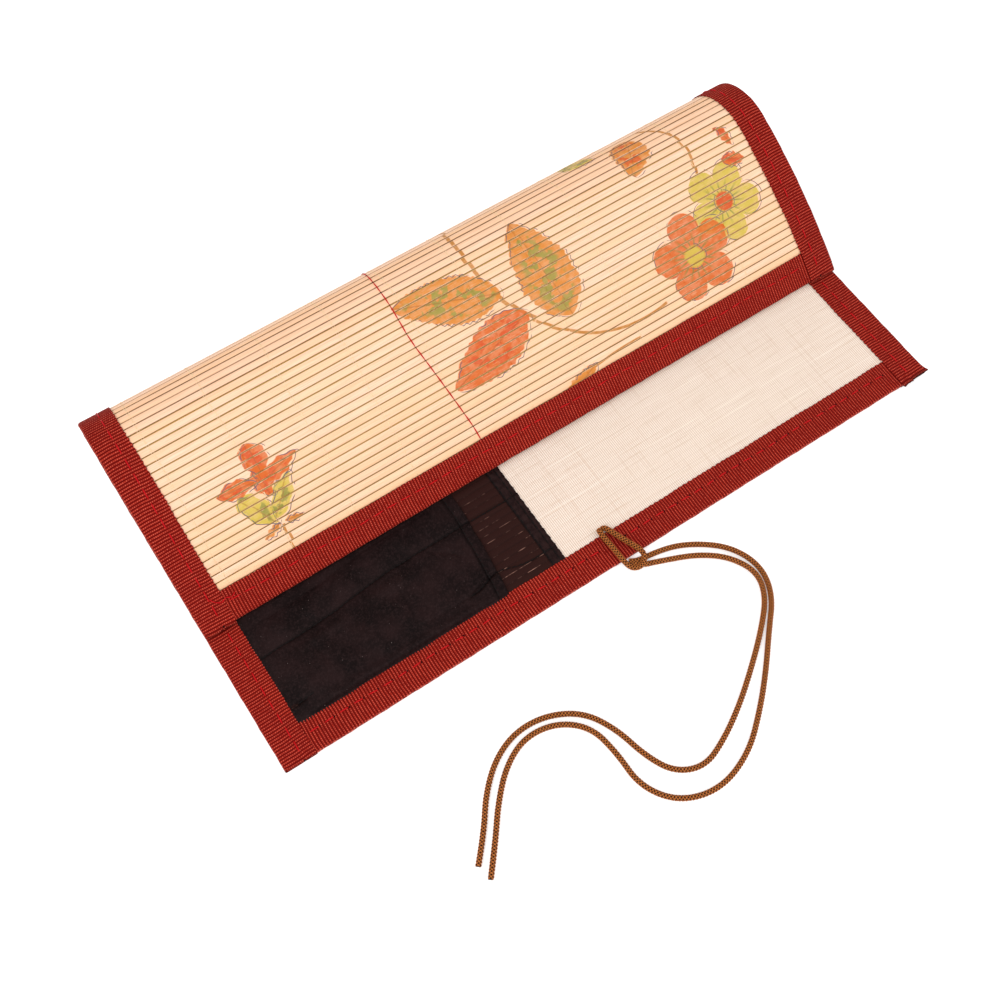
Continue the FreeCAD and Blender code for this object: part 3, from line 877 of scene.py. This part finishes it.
def side_tape(cut, right):
    """A stretch of a side tape, lying over the end tapes at the corners and raw at its cut ends."""
    seed = 5.0 if right else 2.0
    at_front, at_rear = cut.name == "base", cut.name == "flap"
    s = steps(-TAPE if at_front else cut.start, MAT_LENGTH + TAPE if at_rear else cut.end, TAPE_STEP)[:, None]
    t, d = TAPE_LOOP.T[:, None, :]
    inner = d < TAPE_MIDDLE
    front = s < MAT_LENGTH / 2
    over = CORNER_LIFT * (1 - smooth_step(s, TAPE_SIDE, TAPE_SIDE + 1.4))
    over = over + CORNER_LIFT * smooth_step(s, MAT_LENGTH - TAPE_SIDE - 1.4, MAT_LENGTH - TAPE_SIDE)
    depth = tape_depth(t[0], d[0], s, seed)
    depth = depth + over * np.where(inner, -1.0 * front, 1.0 * ~front) * smooth_step(t, 0.6, 2.5)
    inset = tape_inset(t, s, seed)
    from_front, from_rear = np.clip(s + TAPE, 0, None), np.clip(MAT_LENGTH + TAPE - s, 0, None)
    near_front, near_rear = np.exp(-from_front / 1.6), np.exp(-from_rear / 1.5)
    ragged = 0.3 * np.sin(t * 2.9 + seed) + 0.25 * np.sin(t * 6.1)
    if right:
        reach = 0.3 + 1.5 * smooth_step(t, 6.0, 12.0) + ragged
        inset = inset - 1.3 * near_front * (1 - smooth_step(t, 1.0, 7.0)) * inner
    else:
        reach = 0.25 - 0.9 * (1 - smooth_step(t, -0.5, 2.2))
    along = s - reach * near_front * inner + (0.4 + ragged) * near_rear
    # The cut ends are darkened: partly frayed threads, partly painted shade.
    fray_and_end_shade = np.exp(-from_front / 0.7) * (0.9 if right else 0.25) + np.exp(-from_rear / 0.5) * 0.6
    x = MAT_WIDTH - inset if right else inset
    marks = np.stack(np.broadcast_arrays(rib_place(t, s), t), -1)
    name = ("binding_right_" if right else "binding_left_") + cut.name
    extra = {"fray_and_end_shade": np.broadcast_to(fray_and_end_shade, along.shape)}
    return make_tube(name, x, along, depth, marks, (at_front, at_rear), extra)


def make_side_tapes():
    for cut in CUTS:
        attach(side_tape(cut, False), cut, RIBBED, "binding_tape", "tape_left")
        attach(side_tape(cut, True), cut, RIBBED, "binding_tape", "tape_right")


def make_end_tape(rear):
    """The tape along the front or the rear edge, its ends tucked under the side tapes."""
    x = steps(12.0, MAT_WIDTH - 12.0, TAPE_STEP)[:, None]
    t, d = TAPE_LOOP.T[:, None, :]
    seed = 8.0 if rear else 4.0
    inset = tape_inset(t, x, seed)
    marks = np.stack(np.broadcast_arrays(rib_place(t, x), t), -1)
    name = "rear" if rear else "front"
    s = MAT_LENGTH - inset if rear else inset
    piece = make_tube("binding_" + name, x, s, tape_depth(t[0], d[0], x, seed), marks, (True, True))
    paint(piece, RIBBED)
    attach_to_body(piece, "flap" if rear else "front_panel")
    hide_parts("tape_" + name)


# ---------------------------------------------------------------- stitches and threads

def stitch_points(starts, ends, radius, sink):
    """Stitches as short bowed threads: starts and ends are lists of (x, s, d) and the way out."""
    u = np.linspace(0, 1, 7)[None, :, None]
    around = np.linspace(0, TURN, ROUND, endpoint=False)[None, None, :]
    a, b = np.array(starts, float)[:, None, None, :], np.array(ends, float)[:, None, None, :]
    out = a[..., 3]
    taper = radius * (0.45 + 0.55 * np.sin(math.pi * u) ** 0.5)
    rise = out * (sink * np.sin(math.pi * u) + taper * np.sin(around))
    run = b - a
    along_x = np.abs(run[..., 0]) > np.abs(run[..., 1])
    side = taper * np.cos(around)
    x = a[..., 0] + run[..., 0] * u + np.where(along_x, 0, side)
    s = a[..., 1] + run[..., 1] * u + np.where(along_x, side, 0)
    d = a[..., 2] + run[..., 2] * u + rise
    length = np.abs(run[..., 0]) + np.abs(run[..., 1])
    marks = np.stack(np.broadcast_arrays(u * length, around * radius), -1)
    return on_mat(x, s, d), marks


def row_of(first, last, pitch, length, gap=None):
    """Start and end of each stitch in a row, leaving out the stretch called gap."""
    found = []
    at = first
    while at + length < last:
        if gap is None or abs(at + length / 2 - gap[0]) > gap[1]:
            found.append((at, at + length))
        at += pitch
    return found


def in_cut(rows, cut):
    """The stitches whose middles are in a cloth stretch."""
    return [(a, b) for a, b in rows if cut.start <= (a + b) / 2 < cut.end]


def sew(name, cut, starts, ends, radius, sink, material, slot_name, stem):
    """Puts a cut's stitches in one piece."""
    points, marks = stitch_points(starts, ends, radius, sink)
    attach(join_tubes(name + "_" + cut.name, points, marks), cut, material, slot_name, stem)


LOOSE_THREAD = [(9.4, 311.5), (11.0, 314.0), (13.5, 315.4), (16.2, 314.4), (18.6, 315.6), (20.8, 314.2)]


def make_tape_stitches():
    """Red running stitch down the side tapes and along the end tapes."""
    inner, outer = -TAPE + STITCH_SUNK, TAPE_OUT - STITCH_SUNK
    side_rows = row_of(STITCH_PITCH / 2, MAT_LENGTH - 2, STITCH_PITCH, 5.4)
    for cut in CUTS:
        starts, ends = [], []
        for a, b in in_cut(side_rows, cut):
            inner_lift = STITCH_LIFT if a < TAPE_SIDE else 0.0
            outer_lift = STITCH_LIFT if b > MAT_LENGTH - TAPE_SIDE else 0.0
            for x in (STITCH_IN, MAT_WIDTH - STITCH_IN):
                lean = 0.22 * math.sin(a * 1.7 + x)
                for d, out in ((inner - inner_lift, -1.0), (outer + outer_lift, 1.0)):
                    starts.append((x - lean, a, d, out))
                    ends.append((x + lean, b, d, out))
        if cut.name == "base":
            for a, b in row_of(TAPE_SIDE + 2, SIDE_TO, STITCH_PITCH, 4.6, (HITCH_X, 5.0)):
                starts.append((a, STITCH_IN + 0.25 * math.sin(a), inner, -1.0))
                ends.append((b, STITCH_IN + 0.25 * math.cos(a), inner, -1.0))
        if cut.name == "flap":
            for a, b in row_of(TAPE_SIDE + 2, SIDE_TO, STITCH_PITCH, 5.6):
                for d, out in ((outer, 1.0), (inner, -1.0)):
                    starts.append((a, MAT_LENGTH - STITCH_IN + 0.2 * math.sin(a), d, out))
                    ends.append((b, MAT_LENGTH - STITCH_IN + 0.2 * math.cos(a), d, out))
            for (x0, s0), (x1, s1) in zip(LOOSE_THREAD, LOOSE_THREAD[1:]):
                starts.append((x0, s0, TAPE_OUT + (0.55 if x0 < TAPE_SIDE + 1 else 0.15), 1.0))
                ends.append((x1, s1, TAPE_OUT + (0.55 if x1 < TAPE_SIDE + 1 else 0.15), 1.0))
        sew("red_stitches", cut, starts, ends, 0.34, 0.16, RED, "red_thread", "tape_stitching")


OUTER_ROWS = row_of(TAPE_SIDE, MAT_LENGTH - TAPE_SIDE, STITCH_PITCH, 7.0)


def outer_seam(s):
    """Where the band's seam runs on the outer face of the slats."""
    return BAND_STITCH_X - 6.0 * smooth_step(s, 150.0, 235.0) + 7.5 * np.clip((s - 255.0) / 52.0, 0, 1)


def make_band_stitches():
    """The band's seam where it shows as a fine red line on the outer face of the slats."""
    for cut in CUTS:
        starts, ends = [], []
        for a, b in in_cut(OUTER_ROWS, cut):
            starts.append((outer_seam(a), a, 1.62, 1.0))
            ends.append((outer_seam(b), b, 1.62, 1.0))
        sew("red_seam", cut, starts, ends, 0.31, 0.14, RED, "red_thread", "pocket_stitching")


def make_warp_threads():
    """Fine cotton threads that bind the slats, dipping into each gap."""
    around = np.linspace(0, TURN, ROUND, endpoint=False)
    for cut in CUTS:
        s0, s1 = cut_span(cut, TAPE_SIDE, MAT_LENGTH - TAPE_SIDE)
        s = steps(s0, s1, SLAT_PITCH / 8)
        tubes, marks = [], []
        x = TAPE_SIDE + 5.4
        while x < SIDE_TO - 2:
            for side in (-1, 1):
                mid = x + 0.6 * wobble(s, x, 70) + side * (0.3 + 0.28 * np.cos(TURN * s / SLAT_PITCH))
                depth = 1.61 - 0.35 * groove(s)
                place = np.broadcast_arrays(mid[:, None] + 0.14 * np.cos(around), s[:, None])
                tubes.append(on_mat(*place, depth[:, None] + 0.12 * np.sin(around)))
                marks.append(np.stack(place, -1))
            x += WARP_PITCH
        piece = join_tubes("cotton_" + cut.name, np.array(tubes), np.array(marks))
        attach(piece, cut, COTTON, "cotton_thread", "warp_threads")


# ---------------------------------------------------------------- pocket

LAYER = 0.28                 # nylon, a little thicker than real so that its edges show
FLAT_CLOTH = 0.75            # height of the nylon over the mat's inner face where it lies flat
TUCKED = 0.4                 # and where it's tucked under a tape
PUFF_END = 72.0              # how far along the mat the pocket stands up
POCKET_X = 14.2
SHEER_X = 14.5
SHEER_WIDTH = BACKING_X - 1.0 - SHEER_X
CLOTH_END = 13.6             # the pocket's cloths end this far from the mat's edges, under the tapes
BAND_SEAMS = (148.8, 152.6)


def mouth(s):
    """The pocket's mouth isn't quite straight."""
    return MOUTH_X - 1.4 + 4.6 * smooth_step(s, 10.0, 62.0) + 0.4 * wobble(s, 2.0, 40)


def seam_line(s, x):
    """Where a seam that's at s in the CAD model runs: the one on the front panel wanders most."""
    second = FIRST_SEAM + SEAM_PITCH
    if abs(s - FIRST_SEAM) < 1:
        return s - 1.0 + 3.8 * np.exp(-((x - 125.0) / 9.0) ** 2)
    if abs(s - second) < 1:
        return s + 0.4 - 5.0 * (1 - smooth_step(x, 28.0, 98.0)) + 0.3 * wobble(x, 2.0, 45)
    return s + 0.3 * wobble(x, s, 60)


def crease(x, s, line, width, depth):
    """A soft fold along a line, deepest at its middle."""
    (ax, a_s), (bx, b_s) = line
    length = math.hypot(bx - ax, b_s - a_s)
    ux, us = (bx - ax) / length, (b_s - a_s) / length
    along = (x - ax) * ux + (s - a_s) * us
    off = (x - ax) * -us + (s - a_s) * ux
    inside = np.clip(along / length, 0, 1)
    fade = np.sin(math.pi * inside) ** 0.7 * (along > 0) * (along < length)
    return depth * fade * np.exp(-(off / width) ** 2)


def ridge(value, centre, width):
    """1 at the centre, falling smoothly to 0 at a few widths away."""
    return np.exp(-((value - centre) / width) ** 2)


SHARP_CREASE = ((83.5, 48.0), (81.5, 23.0))
CREASES = [(((124.0, 27.5), (107.0, 22.0)), 0.8, -0.8), (SHARP_CREASE, 0.8, -0.5),
           (((37.0, 46.0), (41.0, 28.0)), 1.2, -0.5), (((62.0, 47.0), (50.0, 28.0)), 1.6, -0.5),
           (((104.0, 53.0), (118.0, 40.0)), 1.2, -0.5), (((66.0, 47.0), (96.0, 46.0)), 3.0, 0.7),
           (((28.0, 43.0), (60.0, 45.0)), 2.6, 0.6)]


def puff(x, s):
    """How far the pocket's front stands above the lining on the front panel."""
    second = seam_line(FIRST_SEAM + SEAM_PITCH, x)
    first = seam_line(FIRST_SEAM, x)
    t = np.clip((s - 14.0) / (second - 14.0), 0, 1)
    ends = smooth_step(x, 14.0, 30.0) * (1 - 0.55 * smooth_step(x, 96.0, mouth(s)))
    rise = 2.3 * np.sin(math.pi * t ** 0.8) ** 0.7 * ends
    lip = 1.0 * ridge(s, 16.4, 2.4) * smooth_step(x, 18.0, 40.0)
    lip = lip * (1 - 0.8 * smooth_step(x, 104.0, 124.0))
    beyond = 1.3 * np.sin(math.pi * np.clip((s - second) / 15.0, 0, 1)) ** 0.8 * ends * (s > second)
    caught = smooth_step(x, 104.0, 114.0) + smooth_step(x, 26.0, 20.0)
    shown = smooth_step(x, 60.0, 112.0) + smooth_step(x, 30.0, 20.0)
    faint = -(0.4 + 0.8 * caught) * ridge(s, first, 0.9) * shown
    height = FLAT_CLOTH + rise + lip + beyond + faint
    height -= 0.35 * ridge(s, second, 0.7)
    for line, width, depth in CREASES:
        height += crease(x, s, line, width, depth)
    swell = 0.34 * wobble(x + 0.6 * s, 4.0, 42) + 0.22 * wobble(x - 0.9 * s, 6.0, 19)
    pucker = 0.16 * wobble(x + 0.3 * s, 7.0, 7.5) * ridge(s, second, 6.0)
    height = height + (swell + pucker) * np.clip(rise / 2.0 + beyond, 0, 1)
    tuck = smooth_step(s, 14.2, 16.0) * smooth_step(x, 14.4, 16.6)
    return TUCKED + (height - TUCKED) * tuck


def seam_shade_share(x, s):
    """1 on the cloth's own seams and creases, where it is painted dark as the shade in their valleys, and 0
    away from them.
    """
    second = seam_line(FIRST_SEAM + SEAM_PITCH, x)
    share = ridge(s, second, 0.42) * 0.9
    caught = smooth_step(x, 106.0, 112.0) + smooth_step(x, 25.0, 21.0)
    share += 0.8 * ridge(s, seam_line(FIRST_SEAM, x), 0.42) * caught
    share += crease(x, s, SHARP_CREASE, 0.5, 0.4)
    share += 0.7 * ridge(x, mouth(s) - HEM_WIDTH, 0.45)
    share += 0.8 * ridge(x, 148.3, 0.4) + 0.5 * ridge(x, BAND_SEAMS[1], 0.35) * (x > MOUTH_X + 5)
    return np.clip(share, 0, 1)


def rear_tuck(s):
    """Falls from 1 to 0 where cloth goes under the rear tape."""
    return smooth_step(s, MAT_LENGTH - 15.2, MAT_LENGTH - 16.8)


def front_depth(x, s):
    """The pocket's front stands up near the front edge and lies flat after that."""
    return -np.where(s < PUFF_END, puff(x, s), FLAT_CLOTH)


def folded_depth(x, s):
    """The pocket's front round the fold, where it goes under the rear tape at its end."""
    return -TUCKED - (FLAT_CLOTH - TUCKED - 0.1 * groove(s)) * rear_tuck(s)


def pocket_parts(base):
    """The pocket's cloths: name, node, material, slot, begin, x positions, depth, thickness."""
    share = np.linspace(0, 1, 130 if base else 34)[None, :]
    hem_share = np.linspace(0, 1, 9)[None, :]
    band_share = np.linspace(0, 1, 17)[None, :]
    sheer_share = np.linspace(0, 1, 60 if base else 24)[None, :]
    top = front_depth if base else folded_depth

    def band_x(s):
        worn = 0.3 * wobble(s, 3.0, 4.3) * smooth_step(band_share, 0.9, 1.0)
        return BACKING_X - BAND_WIDTH + band_share * BAND_WIDTH + worn

    return [("pocket", "pocket_front", NYLON, "black_nylon", 0.0,
             lambda s: POCKET_X + share * (mouth(s) - POCKET_X), top, LAYER),
            ("pocket_hem", "pocket_mouth_hem", NYLON, "black_nylon", 0.01,
             lambda s: mouth(s) + 0.15 - HEM_WIDTH * (1 - hem_share),
             lambda x, s: top(x, s) - LAYER * smooth_step(s, 14.4, 15.6) * rear_tuck(s), LAYER - 0.02),
            ("nylon_band", "pocket_band", BAND_CLOTH, "black_nylon", 0.0, band_x, band_depth, 0.34),
            ("sheer", "pocket_backing", SHEER, "sheer_backing", 0.0,
             lambda s: SHEER_X + sheer_share * SHEER_WIDTH,
             lambda x, s: -0.24 + 0.14 * groove(s), 0.2)]


def make_pocket():
    made = {}
    for cut in CUTS:
        base = cut.name == "base"
        begin, end = cut_span(cut, CLOTH_END, MAT_LENGTH - CLOTH_END)
        for name, stem, material, slot_name, later, x_line, top, thickness in pocket_parts(base):
            step = FINE_STEP if base else CLOTH_STEP
            piece = ribbon(name, cut, (begin + later, end), x_line, top, thickness, step, True)
            attach(piece, cut, material, slot_name, stem)
            made.setdefault(name, []).append(piece)
    declare_cloth(made["pocket"] + made["pocket_hem"])
    declare_cloth(made["sheer"] + made["nylon_band"])


def band_depth(x, s):
    """The band lies on the sheer cloth, drawn in along its stitches, and goes under the tapes."""
    drawn = 0.2 * ridge(x, 148.6, 0.6) + 0.18 * ridge(x, BAND_SEAMS[1], 0.6)
    pulled = 0.08 * wobble(s, 5.0, 5.2)
    lying = -0.66 + 0.1 * groove(s) + drawn + pulled
    under = smooth_step(s, 14.4, 16.0) * rear_tuck(s)
    return -TUCKED + (lying + TUCKED) * under


def cloth_height(x, s):
    """Depth of the pocket's upper face at a point, for the threads that lie on it."""
    on_front = x < mouth(np.array(float(s)))
    if on_front and s < PUFF_END:
        return -float(puff(np.array(float(x)), np.array(float(s))))
    if x > BACKING_X - BAND_WIDTH:
        return float(band_depth(x, s))
    return -0.78 if on_front else -0.28


def make_channel_seams():
    """Black seams that part the pocket, the hem's and the band's own stitching."""
    hem_rows = row_of(16.0, MAT_LENGTH - TAPE_SIDE - 1, 3.0, 2.4)
    seams = [FIRST_SEAM + SEAM_PITCH * n for n in range(10)]
    for cut in CUTS:
        starts, ends = [], []
        for s in [q for q in seams if cut.start <= q < cut.end and q < MAT_LENGTH - TAPE_SIDE - 2]:
            for a, b in row_of(16.0, BACKING_X - 1.0, 2.9, 2.5):
                if s == FIRST_SEAM and 26.0 < a < 106.0:
                    continue
                sa, sb = float(seam_line(s, a)), float(seam_line(s, b))
                starts.append((a, sa, cloth_height(a, sa) + 0.03, -1.0))
                ends.append((b, sb, cloth_height(b, sb) + 0.03, -1.0))
        for a, b in in_cut(hem_rows, cut):
            for x in (mouth(np.array(a)) - HEM_WIDTH + 0.8, *BAND_SEAMS):
                extra = LAYER if x < MOUTH_X + 3 else 0.02
                starts.append((float(x), a, cloth_height(float(x), a) - extra + 0.04, -1.0))
                ends.append((float(x), b, cloth_height(float(x), b) - extra + 0.04, -1.0))
        for a, b in in_cut(OUTER_ROWS, cut):
            knot, centre = b + 0.2, outer_seam(b)
            starts.append((centre - 0.3, knot - 0.15, 1.68, 1.0))
            ends.append((centre + 0.3, knot + 0.15, 1.68, 1.0))
        sew("black_seams", cut, starts, ends, 0.22, 0.12, BLACK, "black_thread", "channel_seams")


# ---------------------------------------------------------------- cord

def spline_points(name, route):
    """Points of the smooth curve whose control points are the route's, read from Blender."""
    data = bpy.data.curves.new(name + "_route", "CURVE")
    data.dimensions = "3D"
    data.resolution_u = 16
    spline = data.splines.new("NURBS")
    spline.points.add(len(route) - 1)
    for point, place in zip(spline.points, route):
        point.co = (*in_frame(*place), 1.0)
    spline.order_u = 3
    spline.use_endpoint_u = True
    holder = bpy.data.objects.new(name + "_route", data)
    bpy.context.scene.collection.objects.link(holder)
    bpy.context.view_layer.update()
    mesh = bpy.data.meshes.new_from_object(holder.evaluated_get(bpy.context.evaluated_depsgraph_get()))
    points = np.array([v.co for v in mesh.vertices])
    bpy.data.objects.remove(holder)
    bpy.data.meshes.remove(mesh)
    return points


def even_path(points, step):
    """The same line with points a step apart, with a frame that doesn't twist at each."""
    gaps = np.linalg.norm(np.diff(points, axis=0), axis=1)
    keep = np.concatenate([[True], gaps > 1e-7])
    points, gaps = points[keep], gaps[gaps > 1e-7]
    run = np.concatenate([[0], np.cumsum(gaps)])
    at = np.linspace(0, run[-1], int(run[-1] / step) + 1)
    line = np.stack([np.interp(at, run, points[:, k]) for k in range(3)], -1)
    ahead = np.gradient(line, axis=0)
    ahead /= np.linalg.norm(ahead, axis=1)[:, None]
    side = np.cross(ahead, (0, 0, 1.0))
    side /= np.linalg.norm(side, axis=1)[:, None]
    return line, at, side, np.cross(side, ahead)


def braid_shapes(points):
    """Eight strands plaited round a core along a line: points, marks and shade of each tube."""
    line, at, side, up = even_path(points, 0.3 * MM)
    pitch, middle, weave = 5.8 * MM, 1.0 * MM, 0.16 * MM
    wide, thick = 0.46 * MM, 0.27 * MM
    around = np.linspace(0, TURN, ROUND, endpoint=False)
    for way in (1, -1):
        for n in range(4):
            angle = TURN * n / 4 + way * TURN * at / pitch
            over = way * np.cos(4 * angle)
            out = side * np.cos(angle)[:, None] + up * np.sin(angle)[:, None]
            tangent = -side * np.sin(angle)[:, None] + up * np.cos(angle)[:, None]
            centre = line + out * (middle + weave * over)[:, None]
            ring = centre[:, None, :] + tangent[:, None, :] * (wide * np.cos(around))[None, :, None]
            ring = ring + out[:, None, :] * (thick * np.sin(around))[None, :, None]
            shade = 0.5 + 0.35 * over[:, None] + 0.3 * np.sin(around) - 0.3 * np.abs(np.cos(around))
            yield ring, at[:, None] / MM, wide * np.cos(around)[None, :] / MM, shade
    core = line[:, None, :] + 0.9 * MM * (side[:, None, :] * np.cos(around)[None, :, None]
                                          + up[:, None, :] * np.sin(around)[None, :, None])
    yield core, at[:, None] / MM, around[None, :], np.zeros((len(at), len(around)))


def braid(name, lines):
    """One piece of braided cord along one or more lines."""
    vertices, marks, shades, faces = [], [], [], []
    count = 0
    for points in lines:
        for ring, along, across, shade in braid_shapes(points):
            rows, columns = ring.shape[:2]
            faces += tube_faces(rows, columns, first=count)
            vertices.append(ring.reshape(-1, 3))
            marks.append(np.stack(np.broadcast_arrays(along, across), -1).reshape(-1, 2))
            shades.append(shade.ravel())
            count += rows * columns
    piece = make_mesh(name, np.concatenate(vertices), faces, np.concatenate(marks),
                      {"shade": np.concatenate(shades)})
    paint(piece, BRAID)
    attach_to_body(piece, "front_panel")
    return piece


HITCH_LOOP = [(176.4, 18.2, 0.8), (175.6, 17.4, 3.4), (174.9, 14.8, 4.4), (175.2, 9.5, 4.5),
              (175.6, 4.0, 4.4), (175.9, -1.5, 3.6), (177.2, -5.4, 2.2), (180.2, -7.2, 1.8),
              (183.4, -6.9, 2.6), (185.4, -4.6, 4.6), (185.3, -1.2, 4.8), (183.9, 2.6, 4.6),
              (182.1, 7.0, 4.5), (180.2, 12.0, 4.5), (178.9, 15.4, 4.3), (178.3, 17.4, 3.2),
              (177.9, 18.2, 0.8)]
HITCH_STUBS = [[(183.9, -4.3, CORD_Z), (181.0, -3.8, 1.5), (178.5, -2.0, 1.5)],
               [(183.9, -7.3, CORD_Z), (181.5, -5.6, 1.5), (179.0, -4.0, 1.5)]]


def make_cords():
    """Two tails from under the front edge, and the bight that closes round them."""
    lines = [spline_points("cord_hitch", route) for route in [HITCH_LOOP] + HITCH_STUBS]
    loop = braid("cord_hitch", lines)
    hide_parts("cord_bight", "cord_knot")
    for letter, route, goes_with in (("a", TAIL_A, [loop]), ("b", TAIL_B, [])):
        name = "cord_" + letter
        points = spline_points(name, [(x, y, CORD_Z) for x, y in route])
        piece = braid(name, [points])
        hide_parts("cord_tail_" + letter)
        in_frame(*route[0], CORD_Z)
        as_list(goes_with)


# ---------------------------------------------------------------- floor, lights and camera

FLOOR_HALF = 4.0
FLOOR_GAP = 0.0002           # the floor lies this far under the model, in metres


def make_floor():
    mesh = bpy.data.meshes.new("floor")
    corners = [(-1, -1), (1, -1), (1, 1), (-1, 1)]
    mesh.from_pydata([(FLOOR_HALF * x, FLOOR_HALF * y, 0) for x, y in corners], [], [(0, 1, 2, 3)])
    floor = bpy.data.objects.new("floor", mesh)
    floor.location.z = -FLOOR_GAP
    bpy.context.scene.collection.objects.link(floor)
    mesh.materials.append(floor_material())


def soft_light(name, place, target, size, power):
    data = bpy.data.lights.new(name, "AREA")
    data.shape = "SQUARE"
    data.size = size
    data.energy = power
    lamp = bpy.data.objects.new(name, data)
    lamp.location = place
    lamp.rotation_euler = (Vector(target) - Vector(place)).to_track_quat("-Z", "Y").to_euler()
    bpy.context.scene.collection.objects.link(lamp)


def make_lights():
    soft_light("key", (-0.9, -0.5, 1.5), (0, 0, 0), 1.4, 19.0)
    soft_light("fill", (1.0, -0.9, 1.2), (0, 0, 0), 1.4, 8.0)
    world = bpy.data.worlds.new("studio")
    world.use_nodes = True
    world.node_tree.nodes["Background"].inputs["Color"].default_value = (1.0, 1.0, 1.0, 1.0)
    world.node_tree.nodes["Background"].inputs["Strength"].default_value = 0.74
    bpy.context.scene.world = world
    bpy.context.scene.view_settings.view_transform = "Standard"


def make_camera():
    """The viewpoint: from the front left, looking well down."""
    azimuth, elevation, roll = math.radians(-34.0), math.radians(63.97), math.radians(0.39)
    back = Vector((math.sin(azimuth) * math.cos(elevation), -math.cos(azimuth) * math.cos(elevation),
                   math.sin(elevation)))
    data = bpy.data.cameras.new("camera")
    data.lens, data.sensor_width = 47.06, 36.0
    camera = bpy.data.objects.new("camera", data)
    camera.rotation_mode = "QUATERNION"
    turned = (-back).to_track_quat("-Z", "Y").to_matrix().to_4x4() @ Matrix.Rotation(roll, 4, "Z")
    camera.rotation_quaternion = turned.to_quaternion()
    camera.location = (-0.1835, -0.2565, 0.5517)
    bpy.context.scene.collection.objects.link(camera)
    bpy.context.scene.camera = camera


make_camera()
make_cords()
make_slats()
make_lining()
make_side_tapes()
make_end_tape(False)
make_end_tape(True)
make_pocket()
make_channel_seams()
make_tape_stitches()
make_band_stitches()
make_warp_threads()
make_floor()
make_lights()
